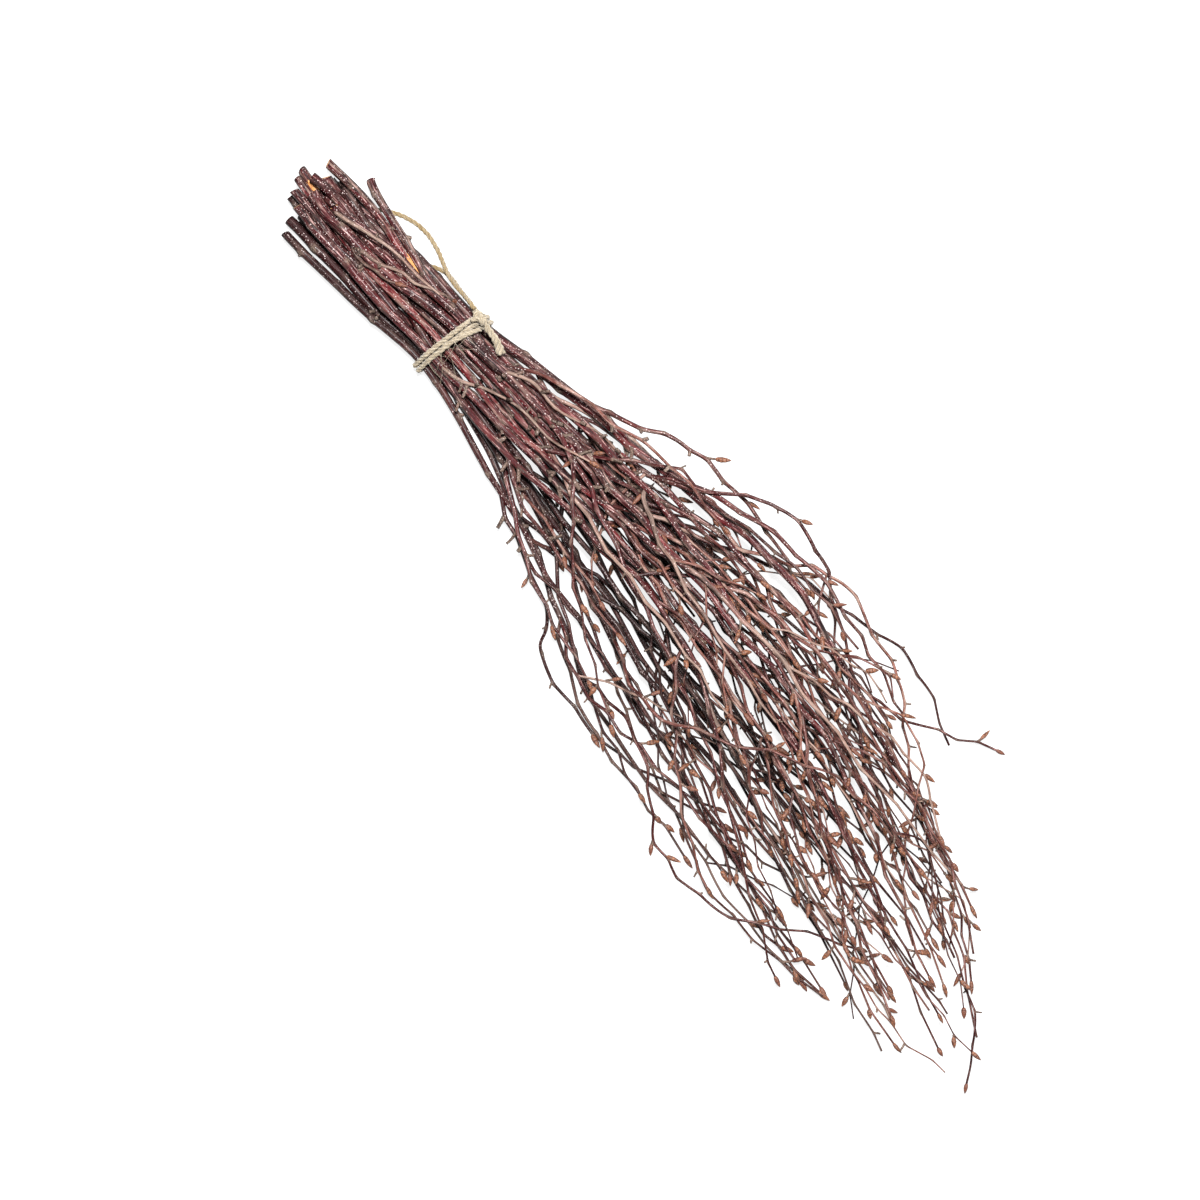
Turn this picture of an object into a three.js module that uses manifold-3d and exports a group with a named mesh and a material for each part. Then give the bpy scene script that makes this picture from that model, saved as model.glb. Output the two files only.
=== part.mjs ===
// A bundle of dried birch branches: 24 branches with the side shoots that grew on them,
// held by two turns of jute twine with a knot, a short tail and a loop to hang it by.
// It lies on a table, z = 0, spread flat by its own weight.
// Millimetres. +X runs from the cut ends to the twig tips, +Y across the bundle, +Z up.
// All places are measured from the foremost cut end until the last step, which moves the
// origin to the table below the middle of the bundle's box.
import * as THREE from "three";
import { mergeVertices } from "three/addons/utils/BufferGeometryUtils.js";
import Module from "manifold-3d";

const wasm = await Module();
wasm.setup();

// Driving sizes.
const LENGTH = 595; // foremost cut end to the last tip
const TIE_AT = 120; // foremost cut end to the middle of the twine
const HANDLE_WIDTH = 46; // of the stems where they are tied
const HANDLE_HEIGHT = 20; // of the stems there
const FAN_WIDTH = 150; // of the twigs where they spread widest
const FAN_HEIGHT = 56; // of the twigs there
const STEM_THICKNESS = 1; // times the diameters in BRANCHES and OUTLINE_SHOOTS
const TIP_DIAMETER = 1.1;
const TWINE_DIAMETER = 2.6;
const TWINE_PITCH = 3.1; // from one turn of the twine to the next
const KNOT_SIZE = [10, 9, 6]; // along the bundle, along the turns, and outwards
const TAIL_END_DIAMETER = 4.8; // where the tail's plies fray apart
const TAIL_FRAYS_FROM = 0.5; // the share of the tail before that
const GAP = 0.45; // left between neighbouring pieces

// The sizes that the tables below are drawn at.
const DRAWN = { length: 595, tie: 120, handleWidth: 46, fanWidth: 150 };

// Each branch: its cut end [x, y] and diameter there, its y at each of STATIONS, its tip
// [x, y], and its height among the others, 0 to 1, at the tie, in the fan and at the tip.
const STATIONS = [30, 70, 120, 175, 245, 325, 415];
const FAN_AT = [245, 400];
const BRANCHES = [
  { cut: [5, 9.5], d: 5.2, y: [14, 14.5, 20.5, 30, 38, 48, 50],
    tip: [545, 22], h: [0.5, 0.6, 0.4] },
  { cut: [26, 22.5], d: 4.6, y: [21.3, 17, 15, 20, 30, 36, 38],
    tip: [530, 28], h: [0.85, 0.7, 0.5] },
  { cut: [10, 3], d: 7.7, y: [4.5, 15, 23.5, 40, 58, 77, 70],
    tip: [520, 57], h: [0.45, 0.55, 0.3] },
  { cut: [28, -3], d: 5.4, y: [-2.5, 9.5, 21, 35, 46, 47, 48],
    tip: [485, 46], h: [0.95, 0.95, 0.9] },
  { cut: [15, -5.5], d: 6.8, y: [-5.5, 2.5, 17, 26, 34, 42, 44],
    tip: [535, 18], h: [0.95, 0.85, 0.7] },
  { cut: [0, -3.5], d: 5.2, y: [-3, -1, 8, 14, 18, 12, -3],
    tip: [545, -12], h: [0.5, 0.5, 0.2] },
  { cut: [7, -2.5], d: 5.4, y: [2, 6, 12, 19, 24, 30, 28],
    tip: [555, 10], h: [0.75, 0.75, 0.5] },
  { cut: [3, -9], d: 5.0, y: [-8, -4, 3, 6.5, 25, 47, 52],
    tip: [505, 60], h: [0.7, 1.0, 0.8] },
  { cut: [7, -12], d: 5.0, y: [-9.5, -7.5, -5, -4.5, 8.5, 14, -22],
    tip: [490, -48], h: [0.8, 0.9, 0.3] },
  { cut: [7, -15.5], d: 4.4, y: [-12, -9, -3, 1, 2, 4, -5],
    tip: [555, -25], h: [0.35, 0.45, 0.2] },
  { cut: [15, -15], d: 5.2, y: [-12.5, -11, -4, 5, 16, 26, 30],
    tip: [570, 0], h: [0.9, 0.7, 0.5] },
  { cut: [18, -18.5], d: 4.4, y: [-16, -9, 0, -2, -4, -8, -14],
    tip: [525, -8], h: [0.2, 0.2, 0.1] },
  { cut: [17, -24.5], d: 5.8, y: [-22, -16.5, -8, -6, -8, -10, -10],
    tip: [515, -20], h: [0.45, 0.3, 0.05] },
  { cut: [22, -30], d: 4.6, y: [-28.5, -21, -9.5, -14.5, -22, -25, -30],
    tip: [510, -32], h: [0.5, 0.1, 0.0] },
  { cut: [13, 6], d: 5.2, y: [8, 8, 4, 10, 6, -2, 8],
    tip: [540, 15], h: [0.1, 0.0, 0.0] },
  { cut: [5, -6], d: 5.6, y: [-5, -4, 13, 16, 28, 32, 28],
    tip: [525, 25], h: [0.15, 0.3, 0.2] },
  { cut: [13, -1], d: 5.2, y: [0, 2, 18, 28, 45, 62, 62],
    tip: [480, 60], h: [0.2, 0.05, 0.0] },
  { cut: [17, -12], d: 4.8, y: [-11, -10, -5.5, -9, -22, -42, -38],
    tip: [485, -30], h: [0.05, 0.1, 0.0] },
  { cut: [11, -8], d: 5.0, y: [-6, 5, 20, 33, 52, 68, 66],
    tip: [495, 62], h: [0.3, 0.6, 0.5] },
  { cut: [20, -20], d: 4.8, y: [-18, -13, 8, 12, 12, 20, 12],
    tip: [560, 15], h: [0.1, 0.05, 0.0] },
  { cut: [22, 3], d: 5.0, y: [4, 3, -3, -2, -4, -20, -28],
    tip: [500, -38], h: [0.6, 0.2, 0.1] },
  { cut: [16, 8], d: 4.8, y: [9, 12, 10, 24, 40, 56, 56],
    tip: [515, 40], h: [0.3, 0.45, 0.3] },
  { cut: [24, -8], d: 5.0, y: [-8, -4, 5, 10, 20, 22, 18],
    tip: [550, 8], h: [0.4, 0.75, 0.6] },
  { cut: [19, -3], d: 4.6, y: [-3, 4, 16, 24, 36, 52, 58],
    tip: [500, 52], h: [0.6, 0.3, 0.4] },
];

// Side shoots that give the bundle its outline: the number of the branch that each grows
// on, its diameter at the base, and the [x, y, height] that it then passes through.
const OUTLINE_SHOOTS = [
  { on: 3, d: 2.6, through: [[205, 55, 0.6], [233, 74, 0.6], [265, 82, 0.55], [300, 84, 0.5],
    [345, 79, 0.5], [400, 74, 0.4]] },
  { on: 19, d: 3.2, through: [[272, 80, 0.7], [290, 96, 0.7], [325, 99, 0.65], [355, 87, 0.6],
    [395, 77, 0.5], [427, 92, 0.3], [462, 117, 0.05]] },
  { on: 19, d: 2.2, through: [[320, 86, 0.5], [338, 100, 0.5], [375, 98, 0.5], [408, 93, 0.45],
    [437, 73, 0.4], [480, 64, 0.35]] },
  { on: 17, d: 2.0, through: [[320, 82, 0.15], [350, 92, 0.2], [390, 107, 0.15],
    [420, 104, 0.05], [445, 98, 0]] },
  { on: 4, d: 2.2, through: [[485, 56, 0.8], [515, 40, 0.7], [555, 31, 0.6], [582, 14, 0.4],
    [595, 1, 0.3]] },
  { on: 14, d: 2.4, through: [[228, -26, 0.2], [265, -34, 0.1], [280, -50, 0], [330, -52, 0],
    [365, -40, 0.1], [400, -22, 0.2]] },
  { on: 18, d: 2.6, through: [[300, -41, 0.5], [335, -38, 0.6], [372, -32, 0.6],
    [425, -29, 0.5], [470, -28, 0.4]] },
  { on: 18, d: 2.0, through: [[345, -33, 0.8], [378, -49, 0.7], [403, -58, 0.6],
    [445, -50, 0.6], [480, -20, 0.6], [502, -4, 0.5]] },
  { on: 13, d: 2.4, through: [[330, -21, 1.0], [368, 0, 1.0], [397, 24, 1.0], [425, 40, 1.0],
    [470, 44, 0.9]] },
  { on: 5, d: 3.0, through: [[205, 25, 1.0], [240, 19, 1.0], [275, 12, 0.95], [330, 2, 0.9],
    [380, -10, 0.8], [430, -24, 0.7]] },
];

// The edges of the fan, [x, y], that the other side shoots stay within.
const UPPER_EDGE = [[120, 28], [155, 38], [185, 47], [225, 60], [275, 80], [325, 92], [375, 92],
  [425, 84], [475, 66], [525, 50], [575, 22], [595, 4]];
const LOWER_EDGE = [[120, -12], [155, -13], [185, -17], [225, -25], [275, -40], [325, -50],
  [425, -50], [475, -44], [525, -30], [575, -8], [595, 0]];
// How far the bundle's height has gone from HANDLE_HEIGHT to FAN_HEIGHT, at x.
const HEIGHT_SHARE = [[120, 0], [185, 0.25], [250, 0.6], [325, 1], [400, 0.95], [480, 0.6],
  [560, 0.3], [595, 0.2]];

// The loop's route, [x from the tie, y, z]: from the knot along the bundle's edge, out over
// the table in a wide bow, in under the stems, and below them back to the knot. Its ends
// follow the knot, and the rest stays as chosen.
const LOOP_ROUTE = [
  [-6.5, 28.6, 25.9], [-11, 28.5, 25.0], [-16, 28.0, 20.0], [-23, 27.2, 14.2], [-31, 27.2, 8.2],
  [-40, 29.0, 3.0], [-49, 30.6, 1.5], [-58, 30.4, 1.4], [-67, 27.6, 1.4], [-76, 22.0, 1.4],
  [-83, 14.5, 1.4], [-88, 6.0, 1.4], [-87, -3.0, 1.4], [-81, -8.5, 1.4], [-72, -8.5, 1.4],
  [-63, -3.5, 1.4], [-55, 5.0, 1.4], [-48, 14.0, 1.4], [-41, 22.0, 1.4], [-34, 26.4, 2.2],
  [-27, 27.8, 5.6], [-21, 27.8, 10.4], [-16, 28.0, 15.4], [-11, 28.4, 21.0], [-6.5, 28.4, 22.2],
];
const LOOP_START = [-6.5, 28.5, 24]; // the knot's side, between the two ends as drawn
const LOOP_END_POINTS = 5; // how many at each end follow the knot, ever less
const LOOP_STEPS = 44;

// The tail's route from the knot's other side, [x, y, z].
const TAIL_ROUTE = [[0, -0.4, -0.8], [4, -0.2, -1.1], [8, -0.2, -1.9], [12, -1.1, -2.6],
  [16, -2.2, -2.9]];
const KNOT_DIRECTION = 27; // degrees up from +Y, seen from the tie's middle
const KNOT_OFFSET = -1; // along the bundle, from the tie

const SIDE_SHOOTS = 3; // further ones on each branch
const SHOOTS_FROM = 20; // from the tie to the first of them
const SHOOTS_OVER = 250; // the length of branch that they start on
const SHOOT_LENGTH = [105, 200]; // least and most, as the next four
const SHOOT_APART = [10, 32]; // from their stem, to one side
const SHOOT_LIFT = [-0.225, 0.275]; // above their stem, as a share of the bundle's height
const SHOOT_DIAMETER = [2, 3]; // at the base
const SHOOT_SHARES = [0.22, 0.45, 0.72, 1]; // of a shoot's length, where it is drawn through
const SHOOT_BEND = 3; // how soon a shoot has gone its way to the side and runs beside its stem
const SHOOTS_END = 6; // how far short of the last tip they stop
const HIGHEST = 1.05; // a shoot's height, as a share of the bundle's
const SEED = 20;
const STEM_SIDES = 5;
const SHOOT_SIDES = 4;
const TWINE_SIDES = 8;
const STEM_STEP = 22; // between a stem's points, about
const SHOOT_STEP = 26;
const STEM_TAPER = 0.83; // the share of its thickness that a stem loses
const STEM_TAPER_POWER = 1.15; // over 1, it loses more of it towards the tip
const SHOOT_TAPER_POWER = 0.8;
const SHOOT_AT_MOST = 0.8; // times the radius of the stem that it grows on
const JOINT_BEFORE = 0.6; // times SHOOT_STEP, from the joint to a shoot's first place
const SPREAD_BY = 1 / 3; // the share of the way to the tips where the fan's width is reached

// ------------------------------------------------------------------ numbers and curves

// Draws between 0 and 1 that are the same on each run (mulberry32).
function draws(seed) {
  let state = seed >>> 0;
  return () => {
    state = (state + 0x6d2b79f5) >>> 0;
    let t = Math.imul(state ^ (state >>> 15), state | 1);
    t = (t + Math.imul(t ^ (t >>> 7), t | 61)) ^ t;
    return ((t ^ (t >>> 14)) >>> 0) / 4294967296;
  };
}

function clamp(value, low, high) {
  return Math.min(Math.max(value, low), high);
}

// The value at x in a table of [x, value], with straight lines between its rows.
function at(table, x) {
  if (x <= table[0][0]) return table[0][1];
  for (let i = 1; i < table.length; i++) {
    const [x0, v0] = table[i - 1];
    const [x1, v1] = table[i];
    if (x <= x1) return v0 + ((v1 - v0) * (x - x0)) / (x1 - x0);
  }
  return table[table.length - 1][1];
}

// The place of a drawn x, y and height, 0 to 1, in a bundle of the driving sizes.
function place(x, y, height) {
  const beyond = (x - DRAWN.tie) / (DRAWN.length - DRAWN.tie);
  const along = beyond < 0 ? (x * TIE_AT) / DRAWN.tie : TIE_AT + beyond * (LENGTH - TIE_AT);
  const inHandle = (y * HANDLE_WIDTH) / DRAWN.handleWidth;
  const inFan = (y * FAN_WIDTH) / DRAWN.fanWidth;
  const across = inHandle + (inFan - inHandle) * clamp(beyond / SPREAD_BY, 0, 1);
  const full = HANDLE_HEIGHT + at(HEIGHT_SHARE, x) * (FAN_HEIGHT - HANDLE_HEIGHT);
  return new THREE.Vector3(along, across, height * full);
}

// Points along a smooth curve through the given ones, about a step apart.
function smooth(through, step) {
  const curve = new THREE.CatmullRomCurve3(through, false, "catmullrom", 0.5);
  let length = 0;
  for (let i = 1; i < through.length; i++) length += through[i].distanceTo(through[i - 1]);
  const count = Math.max(4, Math.round(length / step));
  return Array.from({ length: count + 1 }, (_, i) => curve.getPoint(i / count));
}

// ------------------------------------------------------------------ growth

// A line is a row of points with a radius at each. A branch's first line is its stem, and
// each side shoot's line starts on its stem, at the point that `joint` numbers.
function stemLine(row, branch) {
  const through = [row.cut, ...STATIONS.map((x, i) => [x, row.y[i]]), row.tip];
  const points = smooth(through.map(([x, y]) => place(x, y, at(heights(row), x))), STEM_STEP);
  const radii = points.map((_, i) => {
    const share = i / (points.length - 1);
    const left = 1 - STEM_TAPER * share ** STEM_TAPER_POWER;
    const radius = ((row.d * STEM_THICKNESS) / 2) * left;
    return Math.max(radius, TIP_DIAMETER / 2);
  });
  return { branch, points, radii };
}

function heights(row) {
  const [atTie, inFan, atTip] = row.h;
  return [[DRAWN.tie, atTie], [FAN_AT[0], inFan], [FAN_AT[1], inFan], [row.tip[0], atTip]];
}

// A side shoot through the given points, from its stem's point a little before them.
function shootLine(stem, through, diameter) {
  const before = through[0].x - JOINT_BEFORE * SHOOT_STEP;
  const joint = Math.max(1, stem.points.findLastIndex((p) => p.x < before));
  const points = smooth([stem.points[joint].clone(), ...through], SHOOT_STEP);
  const base = Math.min((diameter * STEM_THICKNESS) / 2, SHOOT_AT_MOST * stem.radii[joint]);
  const last = points.length - 1;
  const radii = points.map((_, i) => {
    return base + (TIP_DIAMETER / 2 - base) * (i / last) ** SHOOT_TAPER_POWER;
  });
  return { branch: stem.branch, points, radii, stem, joint };
}

// A drawn shoot leaves its stem to one side and then runs beside it, up to its tip.
function drawnShoot(stem, row, number, draw) {
  const between = ([least, most]) => least + (most - least) * draw();
  const start = DRAWN.tie + SHOOTS_FROM + (SHOOTS_OVER * (number + draw())) / SIDE_SHOOTS;
  const length = between(SHOOT_LENGTH);
  const apart = between(SHOOT_APART) * ((number + stem.branch) % 2 ? 1 : -1);
  const lift = between(SHOOT_LIFT);
  const diameter = between(SHOOT_DIAMETER);
  const middle = [...STATIONS.map((x, i) => [x, row.y[i]]), row.tip];
  const through = SHOOT_SHARES.map((share) => {
    const x = Math.min(start + length * share, DRAWN.length - SHOOTS_END);
    const out = 1 - Math.exp(-SHOOT_BEND * share);
    const y = clamp(at(middle, x) + apart * out, at(LOWER_EDGE, x), at(UPPER_EDGE, x));
    return place(x, y, clamp(at(heights(row), x) + lift * out, 0, HIGHEST));
  });
  return shootLine(stem, through, diameter);
}

function grow() {
  const stems = BRANCHES.map(stemLine);
  const outline = OUTLINE_SHOOTS.map((row) => {
    const through = row.through.map((p) => place(...p));
    return shootLine(stems[row.on - 1], through, row.d);
  });
  const draw = draws(SEED);
  const others = stems.flatMap((stem) => {
    const numbers = [...Array(SIDE_SHOOTS).keys()];
    return numbers.map((number) => drawnShoot(stem, BRANCHES[stem.branch], number, draw));
  });
  return [...stems, ...outline, ...others];
}

// ------------------------------------------------------------------ settling

const ROUNDS = 130; // in which the branches also spring back to their own lines
const ROUNDS_WITH_TWINE = 60; // and again once the twine is there
const FREE_ROUNDS = 90; // after those, in which they are only moved apart
const ROUNDS_A_SEARCH = 10; // from one search for near pairs to the next
const SEARCH_REACH = 20;
const OVERSHOOT = 1.4; // how much further than needed a touching pair is moved, in a round
const EVENING = 0.35; // how much of a bend in a line's shift is smoothed out, in a round
const SPRING = 0.985; // the share of a line's shift that a round keeps
const UNDER_TIE = 16; // how far to each side of the tie the twine holds the stems up

// The nearest points of two segments, as shares of each.
function nearest(a0, a1, b0, b1) {
  const u = a1.clone().sub(a0);
  const v = b1.clone().sub(b0);
  const w = a0.clone().sub(b0);
  const [uu, uv, vv, uw, vw] = [u.dot(u), u.dot(v), v.dot(v), u.dot(w), v.dot(w)];
  const apart = uu * vv - uv * uv;
  let s = apart > 1e-9 * uu * vv ? clamp((uv * vw - uw * vv) / apart, 0, 1) : 0.5;
  let t = (uv * s + vw) / vv;
  if (t < 0 || t > 1) {
    t = clamp(t, 0, 1);
    s = clamp((uv * t - uw) / uu, 0, 1);
  }
  return [s, t];
}

// Moves the lines apart until no two branches meet each other or a fixed line, and up
// until none is in the table or in the twine below the tie.
function settle(lines, fixed, rounds) {
  const beads = [];
  const links = [];
  for (const line of [...lines, ...fixed]) {
    line.beads = line.points.map((p, i) => {
      const radius = line.radii[i];
      const give = fixed.includes(line) ? 0 : 1 / radius;
      return { p, own: p.clone(), radius, give, push: new THREE.Vector3(), pushes: 0 };
    });
    beads.push(...line.beads);
    for (let i = 1; i < line.beads.length; i++)
      links.push([line.beads[i - 1], line.beads[i], line.branch]);
  }
  let pairs = [];
  for (let round = 0; round < rounds + FREE_ROUNDS; round++) {
    if (round % ROUNDS_A_SEARCH === 0) pairs = nearPairs(links);
    for (const [a, b] of pairs) part(a, b);
    for (const bead of beads) {
      if (bead.pushes) bead.p.addScaledVector(bead.push, OVERSHOOT / bead.pushes);
      bead.push.set(0, 0, 0);
      bead.pushes = 0;
    }
    for (const line of lines) {
      if (line.stem) line.points[0].copy(line.stem.points[line.joint]);
      if (round < rounds) spring(line);
    }
    for (const bead of beads) {
      const twine = Math.abs(bead.p.x - TIE_AT) < UNDER_TIE ? TWINE_DIAMETER + 2 * GAP : 0;
      if (bead.give) bead.p.z = Math.max(bead.p.z, bead.radius + twine);
    }
  }
}

// The pairs of links, of different branches, that could meet before the next search.
function nearPairs(links) {
  const box = (link) => new THREE.Box3().setFromPoints([link[0].p, link[1].p]);
  const boxes = links.map((link) => box(link).expandByScalar(SEARCH_REACH / 2));
  const pairs = [];
  for (let i = 0; i < links.length; i++)
    for (let j = i + 1; j < links.length; j++)
      if (links[i][2] !== links[j][2] && boxes[i].intersectsBox(boxes[j]))
        pairs.push([links[i], links[j]]);
  return pairs;
}

// Pushes two links apart if they are nearer than they may be.
function part([a0, a1], [b0, b1]) {
  const [s, t] = nearest(a0.p, a1.p, b0.p, b1.p);
  const away = a0.p.clone().lerp(a1.p, s).sub(b0.p.clone().lerp(b1.p, t));
  const distance = away.length();
  const radii = a0.radius + (a1.radius - a0.radius) * s + b0.radius + (b1.radius - b0.radius) * t;
  const missing = radii + GAP - distance;
  if (missing <= 0) return;
  const shares = [[a0, 1 - s], [a1, s], [b0, t - 1], [b1, -t]];
  const total = shares.reduce((sum, [bead, share]) => sum + bead.give * share * share, 0);
  for (const [bead, share] of shares) {
    if (!bead.give || !share) continue;
    bead.push.addScaledVector(away, (missing * bead.give * share) / (total * distance));
    bead.pushes++;
  }
}

// Evens out how far a line's beads have moved from its own line, and draws them back a
// little, as a springy branch does.
function spring(line) {
  const moved = line.beads.map((bead) => bead.p.clone().sub(bead.own));
  line.beads.forEach((bead, i) => {
    if (line.stem && i === 0) return;
    const before = moved[Math.max(i - 1, 0)];
    const after = moved[Math.min(i + 1, moved.length - 1)];
    const even = before.clone().add(after).multiplyScalar(0.5);
    bead.p.copy(bead.own).addScaledVector(moved[i].clone().lerp(even, EVENING), SPRING);
  });
}

// ------------------------------------------------------------------ twine

const CORNERS_A_STEM = 24; // on a stem's own outline
const ALONG = [-TWINE_PITCH, 0, TWINE_PITCH]; // the sections that the outline takes in

// The stems' outline where they are tied, widened by the twine's own radius: the points,
// [y, z], of the line that a tight turn's middle follows, against the clock from +Y.
function turnOutline(stems) {
  const spots = [];
  for (const along of ALONG)
    for (const { points, radii } of stems) {
      const x = TIE_AT + along;
      const i = points.findIndex((p) => p.x > x);
      const share = (x - points[i - 1].x) / (points[i].x - points[i - 1].x);
      const middle = points[i - 1].clone().lerp(points[i], share);
      const radius = radii[i - 1] + GAP + TWINE_DIAMETER / 2;
      for (let k = 0; k < CORNERS_A_STEM; k++) {
        const angle = (2 * Math.PI * k) / CORNERS_A_STEM;
        spots.push([middle.y + radius * Math.cos(angle), middle.z + radius * Math.sin(angle)]);
      }
    }
  spots.sort((a, b) => a[0] - b[0] || a[1] - b[1]);
  const half = (row) => {
    const chain = [];
    for (const spot of row) {
      while (chain.length > 1 && !turnsLeft(chain.at(-2), chain.at(-1), spot)) chain.pop();
      chain.push(spot);
    }
    return chain.slice(0, -1);
  };
  return [...half(spots), ...half(spots.reverse())];
}

function turnsLeft(a, b, c) {
  return (b[0] - a[0]) * (c[1] - a[1]) - (b[1] - a[1]) * (c[0] - a[0]) > 1e-9;
}

// The outline's edge that the knot sits over, as the number of its first point, and the
// place on it straight out from the tie's middle towards KNOT_DIRECTION.
function knotFoot(outline) {
  const ys = outline.map(([y]) => y);
  const zs = outline.map(([, z]) => z);
  const y0 = (Math.min(...ys) + Math.max(...ys)) / 2;
  const z0 = (Math.min(...zs) + Math.max(...zs)) / 2;
  const angle = THREE.MathUtils.degToRad(KNOT_DIRECTION);
  const beside = ([y, z]) => (z - z0) * Math.cos(angle) - (y - y0) * Math.sin(angle);
  const next = (i) => outline[(i + 1) % outline.length];
  const edge = outline.findIndex((p, i) => beside(p) <= 0 && beside(next(i)) > 0);
  const [[ya, za], [yb, zb]] = [outline[edge], next(edge)];
  const share = beside([ya, za]) / (beside([ya, za]) - beside([yb, zb]));
  return { edge, foot: [ya + share * (yb - ya), za + share * (zb - za)] };
}

const STEPS_A_TURN = 44;
const TURNS = 2;

// Two turns round the stems from below the knot to below the knot, each beside the last.
function wrapPoints(outline) {
  const { edge, foot } = knotFoot(outline);
  const ring = [foot, ...outline.slice(edge + 1), ...outline.slice(0, edge + 1), foot];
  const path = new THREE.CurvePath();
  for (let i = 1; i < ring.length; i++) {
    const ends = [ring[i - 1], ring[i]].map(([y, z]) => new THREE.Vector3(0, y, z));
    path.add(new THREE.LineCurve3(...ends));
  }
  const points = [];
  for (let i = 0; i <= TURNS * STEPS_A_TURN; i++) {
    const p = path.getPointAt((i % STEPS_A_TURN) / STEPS_A_TURN);
    points.push(p.setX(TIE_AT + TWINE_PITCH * (i / STEPS_A_TURN - TURNS / 2)));
  }
  return points;
}

// The knot's middle, which sits on the turns where they start, and the way it faces.
function knotPlace(points) {
  const foot = points[STEPS_A_TURN];
  const run = points[STEPS_A_TURN + 1].clone().sub(points[STEPS_A_TURN - 1]).setX(0).normalize();
  const out = new THREE.Vector3(0, run.z, -run.y);
  const middle = foot.clone().addScaledVector(out, TWINE_DIAMETER / 2 + GAP + KNOT_SIZE[2] / 2);
  middle.x = TIE_AT + KNOT_OFFSET;
  return { middle, run, out };
}

// The place on the knot's side that faces along the bundle (1) or back (-1).
function knotSide(knot, way) {
  const side = knot.middle.clone();
  side.x += way * (KNOT_SIZE[0] / 2 + GAP);
  return side;
}

function loopLine(knot) {
  const tie = new THREE.Vector3(TIE_AT, 0, 0);
  const shift = knotSide(knot, -1).sub(tie).sub(new THREE.Vector3(...LOOP_START));
  const through = LOOP_ROUTE.map((p, i) => {
    const fromEnd = Math.min(i, LOOP_ROUTE.length - 1 - i);
    const share = Math.max(1 - fromEnd / LOOP_END_POINTS, 0);
    return new THREE.Vector3(...p).add(tie).addScaledVector(shift, share);
  });
  const points = new THREE.CatmullRomCurve3(through).getSpacedPoints(LOOP_STEPS);
  return { points, radii: points.map(() => TWINE_DIAMETER / 2) };
}

function tailLine(knot) {
  const side = knotSide(knot, 1);
  const points = TAIL_ROUTE.map((p) => new THREE.Vector3(...p).add(side));
  const last = points.length - 1;
  const radii = points.map((_, i) => {
    const share = clamp((i / last - TAIL_FRAYS_FROM) / (1 - TAIL_FRAYS_FROM), 0, 1);
    return (TWINE_DIAMETER + share * (TAIL_END_DIAMETER - TWINE_DIAMETER)) / 2;
  });
  return { points, radii };
}

// ------------------------------------------------------------------ solids

function solidOf(geometry) {
  const bare = geometry.clone();
  bare.deleteAttribute("normal");
  bare.deleteAttribute("uv");
  const merged = mergeVertices(bare, 1e-4);
  return new wasm.Manifold(new wasm.Mesh({
    numProp: 3,
    vertProperties: merged.attributes.position.array,
    triVerts: new Uint32Array(merged.index.array),
  }));
}

function geometryOf(solid) {
  const { vertProperties, triVerts } = solid.getMesh();
  const geometry = new THREE.BufferGeometry();
  geometry.setAttribute("position", new THREE.BufferAttribute(vertProperties, 3));
  geometry.setIndex(new THREE.BufferAttribute(triVerts, 1));
  geometry.computeVertexNormals();
  return geometry;
}

// A closed tapered tube: a ring of corners at each point, square to the line there, and a
// flat face at each end.
function taperedTube({ points, radii }, sides) {
  const last = points.length - 1;
  const way = (i) => {
    const before = points[Math.max(i - 1, 0)];
    return points[Math.min(i + 1, last)].clone().sub(before).normalize();
  };
  const position = [];
  const index = [];
  let side = new THREE.Vector3(0, 0, 1);
  points.forEach((p, i) => {
    const ahead = way(i);
    side.addScaledVector(ahead, -side.dot(ahead)).normalize();
    const third = ahead.clone().cross(side);
    for (let k = 0; k < sides; k++) {
      const angle = (2 * Math.PI * k) / sides;
      const corner = p.clone().addScaledVector(side, radii[i] * Math.cos(angle));
      corner.addScaledVector(third, radii[i] * Math.sin(angle));
      position.push(corner.x, corner.y, corner.z);
      if (i === 0) continue;
      const a = (i - 1) * sides + k;
      const b = (i - 1) * sides + ((k + 1) % sides);
      index.push(a, b, a + sides, b, b + sides, a + sides);
    }
  });
  for (let k = 1; k < sides - 1; k++) {
    index.push(0, k + 1, k);
    index.push(last * sides, last * sides + k, last * sides + k + 1);
  }
  const geometry = new THREE.BufferGeometry();
  geometry.setAttribute("position", new THREE.Float32BufferAttribute(position, 3));
  geometry.setIndex(index);
  return geometry;
}

function branchGeometry([stem, ...shoots]) {
  let solid = solidOf(taperedTube(stem, STEM_SIDES));
  for (const shoot of shoots) solid = solid.add(solidOf(taperedTube(shoot, SHOOT_SIDES)));
  return geometryOf(solid);
}

// A length of twine along the points.
function twineGeometry(points) {
  const section = new THREE.Shape();
  for (let k = 0; k < TWINE_SIDES; k++) {
    const angle = (2 * Math.PI * k) / TWINE_SIDES;
    const corner = [0.5 * TWINE_DIAMETER * Math.cos(angle), 0.5 * TWINE_DIAMETER * Math.sin(angle)];
    if (k) section.lineTo(...corner);
    else section.moveTo(...corner);
  }
  return new THREE.ExtrudeGeometry(section, {
    steps: points.length - 1,
    bevelEnabled: false,
    extrudePath: new THREE.CatmullRomCurve3(points),
  });
}

const KNOT_AROUND = 14;
const KNOT_UP = 10;

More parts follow.
